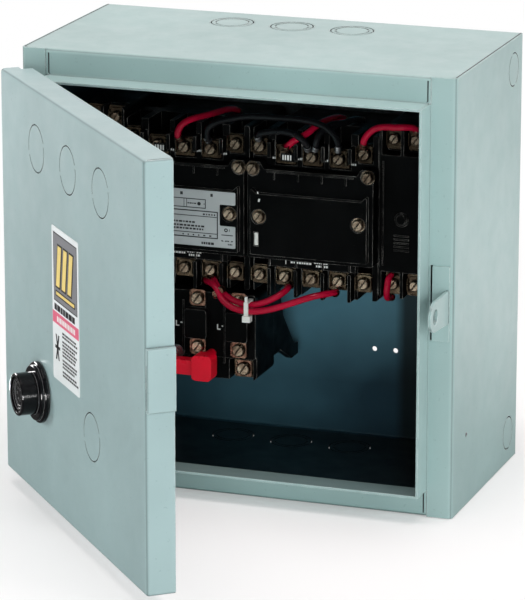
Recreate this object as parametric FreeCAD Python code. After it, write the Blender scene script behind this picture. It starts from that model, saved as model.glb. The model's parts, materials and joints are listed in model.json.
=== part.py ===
import FreeCAD, Part
import math
import os

# Reversing magnetic motor starter in a hinged sheet-steel enclosure. All sizes are in millimetres.
# The pieces are drawn from the enclosure's lower front edge: X runs right from the centre line, Y runs
# back from the front flange and Z runs up from the bottom. The exported pieces are then moved so that
# the origin lies at the centre of the enclosure's back face.

# Enclosure
BOX_W = 287.5
BOX_H = 282.6
BOX_D = 149.0
SHEET = 1.5
BEND = 1.2
FLANGE = 16.9
COLLAR = 17.8
SEAM = 0.2
COLLAR_X = BOX_W / 2 - FLANGE
REAR_TAB = 14.0

# Knockouts and holes in the enclosure
SLIT = 0.7
KNOCKOUT_SMALL = 11.1
KNOCKOUT_LARGE = 14.1
KNOCKOUT_PITCH = 41.0
KNOCKOUT_X = -3.2
KNOCKOUT_Y = 117.0
SIDE_KNOCKOUT_Y = 126.0
SIDE_KNOCKOUT_INSET = 19.7
WALL_HOLE_X = 105.0
WALL_HOLE_Z = 120.0
WALL_HOLE_R = 3.6
EARTH_HOLE_R = 1.75
EARTH_HOLES = [(44.8, 61.6), (59.4, 61.6)]
PLATE_HOLE_R = 2.5
PLATE_HOLES = [(-108.0, 232.0), (104.0, 232.0), (104.0, 128.0), (-108.0, 60.0)]

# Door, drawn shut and then swung open
DOOR_W = 269.4
DOOR_H = 263.0
DOOR_FACE = -20.2
DOOR_REAR = -1.8
DOOR_OPEN = 49.4
PIVOT_X = -142.7
PIVOT_Y = -4.0
PILOT_R = 15.25
PILOT_X = [-63.0, -2.4, 58.2]
PILOT_Z = 236.2
LOWER_PILOT_X = 37.7
LOWER_PILOT_Z = 79.9
BULGE_Z = (122.5, 161.5)
BULGE_OUT = 2.5
LABEL_X = (-34.0, 16.6)
LABEL_Z = (98.4, 195.6)

# Reset button on the door: Y positions count from the door's face
RESET_X = -60.5
RESET_Z = 80.9
GUARD_R = 13.5
GUARD_FRONT = DOOR_FACE - 16.6
FLANGE_R = 19.5
FLANGE_FRONT = DOOR_FACE - 3.6
STEP_R = 17.6
STEP_FRONT = DOOR_FACE - 5.8
BORE_R = 11.6
BORE_END = DOOR_FACE + 5.2
SHANK_END = DOOR_FACE + 11.2
CAP_R = 11.45
CAP_FRONT = DOOR_FACE - 15.6
CAP_THICK = 6.0
STEM_R = 4.0
STEM_END = 13.0

# Hinges
HINGE_Z = [46.0, 236.6]
HINGE_LENGTH = 30.0
BARREL_R = 3.2
PIN_R = 1.6
PIN_HOLE_R = 1.65

# Padlock hasp
HASP_Z = (115.7, 163.9)
HASP_THICK = 1.2
EAR_X = (138.4, 140.4)
EAR_Y = -28.5
EAR_Z = 139.0
EAR_R = 9.5
EAR_HOLE_R = 5.0

# Contactors
CONTACTOR_X = [-51.1, 35.3]
POLE_SHIFT = -1.5
POLE_PITCH = 18.0
COIL_COLUMN = 35.0
HALF_W = 42.0
BLOCK_Z = (122.0, 230.0)
BASE_Z = (126.0, 226.0)
COVER_Z = (147.0, 210.0)
COVER_PLATE_Z = (150.0, 194.0)
FLAG_Z = (155.6, 165.0)
COVER_Y = 41.0
PLATE_Y = 37.0
FIN_Y = 43.5
LUG_Y = 51.0
BLOCK_Y = 52.0
BASE_Y = 84.2
PLATE_FRONT = 133.0
MID_Z = 178.0
AUX_Y = 50.0
TOP_LUG_Z = 214.0
TOP_COIL_LUG_Z = 218.5
BOTTOM_LUG_Z = 134.0
LOCK_X = sum(CONTACTOR_X) / 2
LOCK_Y = 97.0
LOCK_Z = (160.0, 196.0)

# Auxiliary contact blocks
AUX_GAP = 1.2
AUX_WIDTH = 30.0
AUX_REAR = 116.0
AUX_Z = (126.0, 236.0)
AUX_LUG_Z = (133.5, 228.5)
AUX_LUG_DX = (-7.2, 7.2)

# Overload relay
OVERLOAD_X = [-68.5, -40.5, -12.5]
OVERLOAD_SIDES = (-93.0, -1.8)
OVERLOAD_Y = 42.0
OVERLOAD_Z = (63.0, 121.0)
HEATER_Z = (84.5, 117.0)
OVERLOAD_LUG_Z = 69.5
ARM_Y = 20.0
ARM_Z = 75.6
ARM_POST_X = (-31.6, -54.5)
ARM_POST_Z = ARM_Z + 4.6

# Wires
WIRE_R = 2.1


def point(x, y, z):
    return FreeCAD.Vector(x, y, z)


def block(x0, x1, y0, y1, z0, z1):
    corner = point(min(x0, x1), min(y0, y1), min(z0, z1))
    return Part.makeBox(abs(x1 - x0), abs(y1 - y0), abs(z1 - z0), corner)


def rod(radius, x, y0, y1, z):
    """A round bar along Y."""
    return Part.makeCylinder(radius, abs(y1 - y0), point(x, min(y0, y1), z), point(0, 1, 0))


def upright(radius, x, y, z0, z1):
    """A round bar along Z."""
    return Part.makeCylinder(radius, z1 - z0, point(x, y, z0), point(0, 0, 1))


def crossbar(radius, x0, x1, y, z):
    """A round bar along X."""
    return Part.makeCylinder(radius, x1 - x0, point(x0, y, z), point(1, 0, 0))


def join(shapes):
    body = shapes[0]
    for shape in shapes[1:]:
        body = body.fuse(shape)
    return body.removeSplitter()


def carve(body, tools):
    for tool in tools:
        body = body.cut(tool)
    return body


def group(shapes):
    return Part.makeCompound(shapes)


def soften(body, radius, wanted):
    """Round the straight edges for which wanted(middle, direction) is true."""
    edges = []
    for edge in body.Edges:
        if edge.Curve.TypeId != "Part::GeomLine":
            continue
        middle = (edge.Vertexes[0].Point + edge.Vertexes[-1].Point) * 0.5
        direction = edge.Vertexes[-1].Point - edge.Vertexes[0].Point
        direction.normalize()
        if wanted(middle, direction):
            edges.append(edge)
    return body.makeFillet(radius, edges)


def round_front(body, radius, front):
    """Round the edges that lie wholly in the plane y = front."""
    edges = [edge for edge in body.Edges if abs(edge.BoundBox.YMax - front) < 0.01]
    return body.makeFillet(radius, edges)


def rounded_wire(points, radii):
    """A closed outline through points, each corner rounded by its own radius."""
    count = len(points)
    starts = []
    ends = []
    middles = []
    for i in range(count):
        corner = points[i]
        before = (points[i - 1] - corner).normalize()
        after = (points[(i + 1) % count] - corner).normalize()
        radius = radii[i]
        half = before.getAngle(after) / 2
        if radius <= 0 or half > math.pi / 2 - 0.001:
            starts.append(corner)
            ends.append(corner)
            middles.append(None)
            continue
        reach = radius / math.tan(half)
        centre = corner + (before + after).normalize() * (radius / math.sin(half))
        starts.append(corner + before * reach)
        ends.append(corner + after * reach)
        middles.append(centre + (corner - centre).normalize() * radius)
    edges = []
    for i in range(count):
        if middles[i] is not None:
            edges.append(Part.Arc(starts[i], middles[i], ends[i]).toShape())
        following = starts[(i + 1) % count]
        if (ends[i] - following).Length > 0.0001:
            edges.append(Part.makeLine(ends[i], following))
    return Part.Wire(edges)


def prism(points, radius, along):
    """A solid with a rounded outline, pulled along a vector."""
    radii = radius if isinstance(radius, list) else [radius] * len(points)
    return Part.Face(rounded_wire(points, radii)).extrude(along)


def panel(x0, x1, y0, y1, z0, z1, radius):
    """A block whose four edges along Y are rounded."""
    corners = [point(x0, y0, z0), point(x1, y0, z0), point(x1, y0, z1), point(x0, y0, z1)]
    return prism(corners, radius, point(0, y1 - y0, 0))


def folded_sheet(path, side, place, along):
    """Bent sheet metal: path is the outer face in 2-D; side is 1 for metal on its left, -1 on its right."""
    def normal(a, b):
        length = math.hypot(b[0] - a[0], b[1] - a[1])
        return (-side * (b[1] - a[1]) / length, side * (b[0] - a[0]) / length)

    inner = []
    outer_radii = []
    inner_radii = []
    last = len(path) - 1
    for i, (u, v) in enumerate(path):
        before = normal(path[max(i - 1, 0)], path[max(i - 1, 0) + 1])
        after = normal(path[min(i, last - 1)], path[min(i, last - 1) + 1])
        share = 1 + before[0] * after[0] + before[1] * after[1]
        shift = SHEET / share
        inner.append((u + (before[0] + after[0]) * shift, v + (before[1] + after[1]) * shift))
        turn = (before[0] * after[1] - before[1] * after[0]) * side
        end = i in (0, last)
        outer_radii.append(0 if end else (BEND + SHEET if turn > 0 else BEND))
        inner_radii.append(0 if end else (BEND if turn > 0 else BEND + SHEET))
    outline = [place(u, v) for u, v in path + inner[::-1]]
    return prism(outline, outer_radii + inner_radii[::-1], along)


def slit_ring(radius, ties):
    """Cutting tool for a knockout's sheared ring about Z, with uncut ties left in it."""
    ring = Part.makeCylinder(radius, 6, point(0, 0, -3))
    ring = ring.cut(Part.makeCylinder(radius - SLIT, 6, point(0, 0, -3)))
    for turn in ties:
        tie = Part.makeBox(4 * SLIT, 2.4, 6, point(radius - 3 * SLIT, -1.2, -3))
        tie.rotate(point(0, 0, 0), point(0, 0, 1), turn)
        ring = ring.cut(tie)
    return ring


def knockout(centre, axis, radii):
    """Cutting tools for one knockout with a ring for each radius, facing along axis."""
    tools = []
    for index, radius in enumerate(radii):
        ring = slit_ring(radius, [20 + 90 * index, 200 + 90 * index])
        if axis == "x":
            ring.rotate(point(0, 0, 0), point(0, 1, 0), 90)
        if axis == "y":
            ring.rotate(point(0, 0, 0), point(1, 0, 0), 90)
        ring.translate(centre)
        tools.append(ring)
    return tools


def screw(x, front, z, head_r, head_h, shank_r, length):
    """A slotted round-head screw along Y, its head's front face at front."""
    head = rod(head_r, x, front, front + head_h, z)
    head = round_front(head, head_h * 0.35, front)
    slot = block(x - 0.45, x + 0.45, front - 1, front + head_h * 0.45, z - head_r, z + head_r)
    slot.rotate(point(x, front, z), point(0, 1, 0), 35)
    shank = rod(shank_r, x, front + head_h, front + head_h + length, z)
    return join([head.cut(slot), shank])


def spring(x, y0, y1, z, radius, wire_r, turns):
    """A coil spring along Y."""
    travel = y1 - y0 - 2.4 * wire_r
    helix = Part.makeHelix(travel / turns, travel, radius)
    profile = Part.Wire([Part.makeCircle(wire_r, point(radius, 0, 0), point(0, 1, 0))])
    coil = Part.Wire(helix.Edges).makePipeShell([profile], True, True)
    coil.rotate(point(0, 0, 0), point(1, 0, 0), -90)
    coil.translate(point(x, y0 + 1.2 * wire_r, z))
    return coil


def cable(points, radius):
    """A round wire through points."""
    curve = Part.BSplineCurve()
    curve.interpolate([point(*p) for p in points])
    start = curve.value(curve.FirstParameter)
    heading = curve.tangent(curve.FirstParameter)[0]
    profile = Part.Wire([Part.makeCircle(radius, start, heading)])
    return Part.Wire([curve.toShape()]).makePipeShell([profile], True, True)


def swing(shape):
    """Open the door: turn a piece drawn on the shut door about the hinge pins."""
    shape = shape.copy()
    shape.rotate(point(PIVOT_X, PIVOT_Y, 0), point(0, 0, 1), -DOOR_OPEN)
    return shape


# ---- enclosure ----

def enclosure_wrapper():
    half = BOX_W / 2 - SHEET - SEAM
    top = BOX_H - FLANGE
    path = [(-COLLAR, top), (0, top), (0, BOX_H), (BOX_D, BOX_H), (BOX_D, 0), (0, 0), (0, FLANGE),
            (-COLLAR, FLANGE)]
    body = folded_sheet(path, -1, lambda y, z: point(-half, y, z), point(2 * half, 0, 0))
    side_start = COLLAR_X + 0.3
    collar_end = COLLAR_X - SHEET - SEAM
    tools = []
    for sign in (-1, 1):
        far = sign * BOX_W
        tools.append(block(sign * side_start, far, -30, SHEET + SEAM, -5, BOX_H + 5))
        tools.append(block(sign * (half - BEND - 0.3), far, -30, SHEET + BEND + 0.3, -5, BOX_H + 5))
        tools.append(block(sign * collar_end, far, -30, SHEET + SEAM, FLANGE - 0.2, top + 0.2))
        for z in (-WALL_HOLE_Z, WALL_HOLE_Z):
            tools.append(rod(WALL_HOLE_R, sign * WALL_HOLE_X, BOX_D - 5, BOX_D + 5, BOX_H / 2 + z))
    for index in (-1, 0, 1):
        x = KNOCKOUT_X + index * KNOCKOUT_PITCH
        for z in (0, BOX_H):
            tools += knockout(point(x, KNOCKOUT_Y, z), "z", [KNOCKOUT_SMALL, KNOCKOUT_LARGE])
    for x, z in EARTH_HOLES:
        tools.append(rod(EARTH_HOLE_R, x, BOX_D - 5, BOX_D + 5, z))
    for x, z in PLATE_HOLES:
        tools.append(rod(PLATE_HOLE_R, x, BOX_D - 5, BOX_D + 5, z))
    return carve(body, tools)


def side_panel(sign):
    rear = BOX_D - SHEET - 0.1
    path = [(COLLAR_X, -COLLAR), (COLLAR_X, 0), (BOX_W / 2, 0), (BOX_W / 2, rear),
            (BOX_W / 2 - REAR_TAB, rear)]
    body = folded_sheet(path, 1, lambda x, y: point(x, y, 0), point(0, 0, BOX_H))
    root = COLLAR_X + 0.5
    inside = BOX_W / 2 - SHEET - 0.1
    corner = SHEET + BEND + 0.2
    tools = [
        block(0, root, -30, 10, BOX_H - FLANGE - 0.1, BOX_H + 5),
        block(0, root, -30, 10, -5, FLANGE + 0.1),
        block(0, inside, BOX_D / 2, BOX_D, BOX_H - corner, BOX_H + 5),
        block(0, inside, BOX_D / 2, BOX_D, -5, corner),
    ]
    for z in (SIDE_KNOCKOUT_INSET, BOX_H - SIDE_KNOCKOUT_INSET):
        tools += knockout(point(BOX_W / 2, SIDE_KNOCKOUT_Y, z), "x", [KNOCKOUT_SMALL])
    if sign > 0:
        tools.append(block(COLLAR_X + 1.4, COLLAR_X + 2.9, -5, 5, HASP_Z[0], HASP_Z[1]))
    body = carve(body, tools)
    if sign < 0:
        body = body.mirror(point(0, 0, 0), point(1, 0, 0))
    return body


def left_side_panel():
    return side_panel(-1)


def right_side_panel():
    return side_panel(1)


def padlock_hasp():
    plate = panel(COLLAR_X + 2.9, EAR_X[1] + 0.6, -HASP_THICK, 0, HASP_Z[0], HASP_Z[1], 0.8)
    neck = [point(EAR_X[0], -0.2, EAR_Z - 11.5), point(EAR_X[0], -0.2, EAR_Z + 9.5),
            point(EAR_X[0], EAR_Y, EAR_Z + EAR_R), point(EAR_X[0], EAR_Y, EAR_Z - EAR_R)]
    ear = prism(neck, 0, point(EAR_X[1] - EAR_X[0], 0, 0))
    ear = ear.fuse(crossbar(EAR_R, EAR_X[0], EAR_X[1], EAR_Y, EAR_Z))
    ear = ear.cut(crossbar(EAR_HOLE_R, EAR_X[0] - 1, EAR_X[1] + 1, EAR_Y, EAR_Z))
    return join([plate, ear])


def barrel(z, share_start, share_end):
    z0 = z - HINGE_LENGTH / 2 + HINGE_LENGTH * share_start
    z1 = z - HINGE_LENGTH / 2 + HINGE_LENGTH * share_end
    return upright(BARREL_R, PIVOT_X, PIVOT_Y, z0, z1)


def hinge_frame_leaves():
    leaves = []
    for z in HINGE_Z:
        half = HINGE_LENGTH / 2
        plate = block(PIVOT_X, COLLAR_X * -1 - 1.5, -1.2, 0, z - half, z + half)
        plate = plate.cut(block(PIVOT_X - 5, PIVOT_X + 4.2, -10, 1, z - half / 3 - 0.3, z + half / 3 + 0.3))
        leaf = join([plate, barrel(z, 0, 1 / 3 - 0.01), barrel(z, 2 / 3 + 0.01, 1)])
        leaves.append(leaf.cut(upright(PIN_HOLE_R, PIVOT_X, PIVOT_Y, z - half - 1, z + half + 1)))
    return group(leaves)


def hinge_pins():
    pins = []
    for z in HINGE_Z:
        half = HINGE_LENGTH / 2
        shank = upright(PIN_R, PIVOT_X, PIVOT_Y, z - half - 1, z + half)
        head = upright(PIN_R + 0.9, PIVOT_X, PIVOT_Y, z + half, z + half + 1.2)
        pins.append(join([shank, head]))
    return group(pins)


def mounting_plate():
    y = PLATE_FRONT
    outline = [point(-118, y, 50), point(-24, y, 50), point(-24, y, 118), point(114, y, 118),
               point(114, y, 242), point(-118, y, 242)]
    plate = prism(outline, 6, point(0, 2, 0))
    feet = [rod(9, x, y + 1.9, BOX_D - SHEET - 0.1, z) for x, z in PLATE_HOLES]
    holes = [rod(PLATE_HOLE_R + 0.1, x, y - 1, BOX_D, z) for x, z in PLATE_HOLES]
    return carve(join([plate] + feet), holes)


def mounting_screws():
    return group([screw(x, PLATE_FRONT - 3.2, z, 4.6, 3.2, 2.4, 15.2) for x, z in PLATE_HOLES])


# ---- door, drawn shut ----

def door_panel():
    left = -DOOR_W / 2
    right = DOOR_W / 2
    low = (BOX_H - DOOR_H) / 2
    high = low + DOOR_H
    shell = block(left, right, DOOR_FACE, DOOR_REAR, low, high)
    shell = soften(shell, 2.4, lambda m, d: abs(d.y) > 0.9 or abs(m.y - DOOR_FACE) < 0.1)
    edge = right + BULGE_OUT
    bulge = block(right - 3, edge, DOOR_FACE + 0.8, DOOR_REAR, BULGE_Z[0], BULGE_Z[1])
    bulge = soften(bulge, 0.9, lambda m, d: m.x > right + 1 and abs(m.y - DOOR_REAR) > 0.1)
    shell = shell.fuse(bulge)
    hollow = block(left + SHEET, right - SHEET, DOOR_FACE + SHEET, 5, low + SHEET, high - SHEET)
    hollow = soften(hollow, 0.9, lambda m, d: m.y < 0 and abs(d.y) < 0.1 or abs(d.y) > 0.9)
    pocket = block(0, edge - SHEET, DOOR_FACE + 2.3, 5, BULGE_Z[0] + SHEET, BULGE_Z[1] - SHEET)
    tools = [hollow, pocket]
    tools.append(block(right - 0.1, right + 0.9, DOOR_FACE - 1, DOOR_FACE + 2.5, 124.3, 151.4))
    for x0 in (left + SHEET, right - SHEET - 0.4):
        for z0 in (low - 1, high - SHEET - 1):
            tools.append(block(x0, x0 + 0.4, DOOR_FACE + 3, 5, z0, z0 + SHEET + 2))
    tools.append(block(left - 1, left + 9, DOOR_REAR - 7, 5, high - SHEET - 0.5, high + 1))
    for x in PILOT_X:
        tools += knockout(point(x, DOOR_FACE, PILOT_Z), "y", [PILOT_R])
    tools += knockout(point(LOWER_PILOT_X, DOOR_FACE, LOWER_PILOT_Z), "y", [PILOT_R])
    tools.append(rod(PILOT_R, RESET_X, DOOR_FACE - 1, DOOR_FACE + 3, RESET_Z))
    return swing(carve(shell, tools))


def hinge_door_leaves():
    leaves = []
    face = -DOOR_W / 2
    for z in HINGE_Z:
        half = HINGE_LENGTH / 2
        plate = block(face - 1.5, face, DOOR_FACE + 3, DOOR_REAR - 0.8, z - half, z + half)
        third = half / 3
        arm = block(PIVOT_X, face - 0.5, PIVOT_Y - BARREL_R, PIVOT_Y - BARREL_R + 1.5, z - third + 0.4,
                    z + third - 0.4)
        leaf = join([plate, arm, barrel(z, 1 / 3 + 0.01, 2 / 3 - 0.01)])
        leaf = leaf.cut(upright(PIN_HOLE_R, PIVOT_X, PIVOT_Y, z - half, z + half))
        leaves.append(swing(leaf))
    return group(leaves)


def door_label():
    face = panel(LABEL_X[0], LABEL_X[1], DOOR_FACE - 0.35, DOOR_FACE, LABEL_Z[0], LABEL_Z[1], 1.5)
    return swing(face)


def reset_bezel():
    guard = rod(GUARD_R, RESET_X, GUARD_FRONT, STEP_FRONT + 2, RESET_Z)
    guard = round_front(guard, 0.9, GUARD_FRONT)
    step = rod(STEP_R, RESET_X, STEP_FRONT, FLANGE_FRONT + 0.6, RESET_Z)
    step = round_front(step, 0.9, STEP_FRONT)
    flange = rod(FLANGE_R, RESET_X, FLANGE_FRONT, DOOR_FACE - 1, RESET_Z)
    flange = round_front(flange, 1.0, FLANGE_FRONT)
    shank = rod(PILOT_R - 0.25, RESET_X, DOOR_FACE - 1, SHANK_END, RESET_Z)
    body = join([guard, step, flange, shank])
    bore = rod(BORE_R, RESET_X, GUARD_FRONT - 1, BORE_END, RESET_Z)
    guide = rod(STEM_R + 0.08, RESET_X, DOOR_FACE, SHANK_END + 1, RESET_Z)
    return swing(carve(body, [bore, guide]))


def reset_gasket():
    ring = rod(18.2, RESET_X, DOOR_FACE - 1, DOOR_FACE, RESET_Z)
    return swing(ring.cut(rod(15.3, RESET_X, DOOR_FACE - 2, DOOR_FACE + 1, RESET_Z)))


def reset_ring_nut():
    y0 = DOOR_FACE + SHEET
    corners = []
    for index in range(6):
        angle = math.radians(60 * index)
        corners.append(point(RESET_X + 20.6 * math.cos(angle), y0, RESET_Z + 20.6 * math.sin(angle)))
    nut = prism(corners, 1.0, point(0, 4.6, 0))
    return swing(nut.cut(rod(15.05, RESET_X, y0 - 1, y0 + 6, RESET_Z)))


def reset_plunger():
    cap = rod(CAP_R, RESET_X, CAP_FRONT, CAP_FRONT + CAP_THICK, RESET_Z)
    cap = round_front(cap, 0.8, CAP_FRONT)
    cap = cap.cut(rod(CAP_R - 2.25, RESET_X, CAP_FRONT - 1, CAP_FRONT + 1.2, RESET_Z))
    stem = rod(STEM_R, RESET_X, CAP_FRONT + CAP_THICK - 1, STEM_END, RESET_Z)
    groove_y = SHANK_END + 0.1
    groove = rod(6, RESET_X, groove_y, groove_y + 1, RESET_Z)
    groove = groove.cut(rod(3.3, RESET_X, groove_y, groove_y + 1, RESET_Z))
    return swing(join([cap, stem]).cut(groove))


def reset_clip():
    y = SHANK_END + 0.15
    ring = rod(7.0, RESET_X, y, y + 0.9, RESET_Z)
    ring = ring.cut(rod(3.35, RESET_X, y - 1, y + 2, RESET_Z))
    return swing(ring.cut(block(RESET_X - 2, RESET_X + 2, y - 1, y + 2, RESET_Z - 9, RESET_Z)))


def reset_spring():
    return swing(spring(RESET_X, CAP_FRONT + CAP_THICK + 0.1, BORE_END - 0.1, RESET_Z, 7.6, 0.6, 6))


# ---- contactors: each takes the x of its own centre line ----

def columns(x):
    """The x and half-width of each terminal column: three power poles between two coil terminals."""
    centre = x + POLE_SHIFT
    inner = [(centre + index * POLE_PITCH, 6.4) for index in (-1, 0, 1)]
    return [(centre - COIL_COLUMN, 4.6)] + inner + [(centre + COIL_COLUMN, 4.6)]


def poles(x):
    return [x + POLE_SHIFT + index * POLE_PITCH for index in (-1, 0, 1)]


def contactor_base(x):
    px = x + POLE_SHIFT
    shell = panel(x - 38, x + 38, BASE_Y, PLATE_FRONT, BASE_Z[0], BASE_Z[1], 3)
    tools = [panel(px - 32.5, px + 32.5, BASE_Y - 1, 130, 150, 206, 2)]
    tools.append(block(x - 45, x + 45, BASE_Y - 1, 101, 169.5, 186.5))
    for x0, z0 in ((-30, 130), (-30, 210), (4, 130), (4, 210)):
        tools.append(block(x + x0, x + x0 + 26, BASE_Y - 1, 126, z0, z0 + 12))
    return carve(shell, tools)


def magnet_core(x):
    px = x + POLE_SHIFT
    outline = [point(px - 28, 130, 164), point(px - 28, 103, 164), point(px - 18.5, 103, 164),
               point(px - 18.5, 119, 164), point(px - 9, 119, 164), point(px - 9, 103, 164),
               point(px + 9, 103, 164), point(px + 9, 119, 164), point(px + 18.5, 119, 164),
               point(px + 18.5, 103, 164), point(px + 28, 103, 164), point(px + 28, 130, 164)]
    return prism(outline, 0, point(0, 0, 28))


def magnet_coil(x):
    px = x + POLE_SHIFT
    body = panel(px - 17.4, px + 17.4, 105, 117.5, MID_Z - 23.5, MID_Z + 23.5, 5)
    cheeks = [panel(px - 18.0, px + 18.0, y, y + 1.2, MID_Z - 24.5, MID_Z + 24.5, 3) for y in (104, 117.3)]
    return join([body] + cheeks).cut(block(px - 9.3, px + 9.3, 100, 125, MID_Z - 14.3, MID_Z + 14.3))


def magnet_armature(x):
    px = x + POLE_SHIFT
    bar = block(px - 27, px + 27, 86.1, 97.8, MID_Z - 12, MID_Z + 12)
    return soften(bar, 1.0, lambda m, d: abs(d.z) > 0.9)


def contact_block(x):
    z0, z1 = BLOCK_Z
    px = x + POLE_SHIFT
    body = panel(x - HALF_W, x + HALF_W, BLOCK_Y, BASE_Y - 0.1, z0, z1, 1.5)
    tools = [block(px - 32, px + 32, BLOCK_Y - 1, 72.4, 152, 204)]
    tools.append(block(px - 31, px + 31, 70, BASE_Y + 1, 163, 193))
    tools.append(block(px - 35, px - 31.5, BLOCK_Y - 1, BASE_Y + 1, FLAG_Z[0] - 0.2, FLAG_Z[1] + 0.1))
    tools.append(block(px - 35, px - 29, 75.5, BASE_Y + 1, FLAG_Z[0] - 0.2, 171))
    for index, (cx, half) in enumerate(columns(x)):
        outer = index in (0, 4)
        reach = half + (0.3 if outer else 0.9)
        tools.append(block(cx - reach, cx + reach, BLOCK_Y - 1, 74.6, 211.5 if outer else 206.5, z1 + 1))
        tools.append(block(cx - reach, cx + reach, BLOCK_Y - 1, 74.6, z0 - 1, 145.5))
        if not outer:
            tools.append(block(cx - 6.2, cx + 6.2, 71.3, 74.6, 194.6, 207))
            tools.append(block(cx - 6.2, cx + 6.2, 71.3, 74.6, 145, 161.4))
    for dx, z in cover_points():
        tools.append(rod(1.9, x + dx, BLOCK_Y - 1, 70, z))
    body = carve(body, tools)
    fins = []
    for share in (-1.5, -0.5, 0.5, 1.5):
        fx = px + share * POLE_PITCH
        fins.append(panel(fx - 1.1, fx + 1.1, FIN_Y, BLOCK_Y + 0.5, 212.5, 222.5, 0.6))
        fins.append(panel(fx - 1.1, fx + 1.1, FIN_Y, BLOCK_Y + 0.5, z0, 140, 0.6))
    return join([body] + fins)


def terminal_heights(index):
    top = TOP_COIL_LUG_Z if index in (0, 4) else TOP_LUG_Z
    return top, BOTTOM_LUG_Z


def contact_terminals(x):
    pieces = []
    for index, (cx, half) in enumerate(columns(x)):
        top, bottom = terminal_heights(index)
        for z, sign in ((top, 1), (bottom, -1)):
            face = panel(cx - half, cx + half, LUG_Y, LUG_Y + 3.4, z - 6.2, z + 6.2, 1)
            lug = face.fuse(block(cx - 3.2, cx + 3.2, LUG_Y + 3, 74.4, z - 5, z + 5))
            if index in (1, 2, 3):
                inner = 195 if sign > 0 else 161
                strip = block(cx - 6, cx + 6, 72.5, 74.4, inner, z)
                tip = rod(3, cx, 71.5, 73, inner + sign * 4)
                lug = join([lug, strip, tip])
            pieces.append(lug.cut(rod(2.1, cx, LUG_Y - 1, LUG_Y + 12, z)))
    return group(pieces)


def terminal_screws():
    screws = []
    for x in CONTACTOR_X:
        for index, (cx, half) in enumerate(columns(x)):
            for z in terminal_heights(index):
                saddle = rod(min(half, 5.0), cx, LUG_Y - 1, LUG_Y, z)
                head = screw(cx, LUG_Y - 4.4, z, 3.9, 3.4, 2.0, 12)
                screws.append(join([saddle, head]))
    return group(screws)


def cover_points():
    return [(-33.2, 175.0), (33.2, 175.0), (-38.5, 205.6), (38.5, 205.6)]


def contactor_cover(x):
    px = x + POLE_SHIFT
    y = COVER_Y
    low, high = COVER_Z
    outline = [point(x - HALF_W, y, low), point(x + HALF_W, y, low), point(x + HALF_W, y, high),
               point(x + 34, y, high), point(x + 31, y, high - 4.5), point(x - 31, y, high - 4.5),
               point(x - 34, y, high), point(x - HALF_W, y, high)]
    slab = prism(outline, 1.2, point(0, BLOCK_Y - 0.1 - y, 0))
    low, high = COVER_PLATE_Z
    front = [point(x - 39, PLATE_Y, low), point(x + 39, PLATE_Y, low), point(x + 39, PLATE_Y, high),
             point(x + 35, PLATE_Y, high - 4), point(x - 35, PLATE_Y, high - 4),
             point(x - 39, PLATE_Y, high)]
    plate = prism(front, 0.8, point(0, y - PLATE_Y + 0.5, 0))
    body = join([slab, plate])
    tools = [block(px - 31.5, px + 31.5, 46, BLOCK_Y + 1, 153, 203)]
    tools.append(block(px - 34.8, px - 31.8, PLATE_Y - 1, BLOCK_Y + 1, FLAG_Z[0], FLAG_Z[1]))
    for dx, z in cover_points():
        tools.append(rod(2.0, x + dx, PLATE_Y - 1, BLOCK_Y + 1, z))
        tools.append(rod(5.0, x + dx, PLATE_Y - 1, COVER_Y + 0.6 if z > 200 else PLATE_Y + 2, z))
    return carve(body, tools)


def cover_screws():
    screws = []
    for x in CONTACTOR_X:
        for dx, z in cover_points():
            seat = COVER_Y + 0.6 if z > 200 else PLATE_Y + 2
            washer = rod(4.6, x + dx, seat - 0.8, seat, z)
            head = screw(x + dx, seat - 3.6, z, 3.7, 2.8, 1.75, 18)
            screws.append(join([washer, head]))
    return group(screws)


def contact_carrier(x):
    px = x + POLE_SHIFT
    parts = [block(px - 29.5, px + 29.5, 76, 86, MID_Z - 12.5, MID_Z + 12.5)]
    parts.append(block(px - 5, px + 5, 84.6, 86, MID_Z - 22.5, MID_Z + 22.5))
    parts.append(block(px - 34.5, px - 29, 76.2, 79, 160, 170))
    parts.append(block(px - 34.5, px - 32, 50, 79, 156, 164.6))
    for cx in poles(x):
        parts.append(block(cx - 5.6, cx + 5.6, 56, 76.5, MID_Z - 8, MID_Z + 8))
    body = join(parts)
    windows = [block(cx - 3.7, cx + 3.7, 57.5, 64.6, MID_Z - 9, MID_Z + 9) for cx in poles(x)]
    return carve(body, windows)


def indicator_flag(x):
    px = x + POLE_SHIFT
    return panel(px - 34.5, px - 32.1, PLATE_Y + 0.4, 49.9, FLAG_Z[0] + 0.6, FLAG_Z[1] - 0.6, 0.5)


def moving_contacts(x):
    bridges = []
    for cx in poles(x):
        bar = block(cx - 3.5, cx + 3.5, 62.6, 64.5, MID_Z - 23, MID_Z + 23)
        tips = [rod(3.0, cx, 64, 66.3, MID_Z + sign * 19.5) for sign in (-1, 1)]
        bridges.append(join([bar] + tips))
    return group(bridges)


def contact_springs(x):
    return group([spring(cx, 57.6, 62.5, MID_Z, 2.4, 0.35, 3) for cx in poles(x)])


def return_springs(x):
    px = x + POLE_SHIFT
    return group([spring(px, 86.1, 103.9, MID_Z + sign * 18.5, 3.0, 0.45, 6) for sign in (-1, 1)])


def rating_label():
    x = CONTACTOR_X[0]
    y = PLATE_Y
    outline = [point(x - 28.5, y, 152.6), point(x + 37.6, y, 152.6), point(x + 37.6, y, 167),
               point(x + 27, y, 167), point(x + 27, y, 181), point(x + 37.6, y, 181),
               point(x + 37.6, y, 189.4), point(x - 28.5, y, 189.4)]
    return prism(outline, 0.8, point(0, -0.3, 0))


# ---- auxiliary contact blocks: sign is -1 on the left contactor's outer side, 1 on the right's ----

def aux_span(sign):
    contactor = CONTACTOR_X[1] if sign > 0 else CONTACTOR_X[0]
    near = contactor + sign * (HALF_W + AUX_GAP)
    return near, near + sign * AUX_WIDTH


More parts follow.
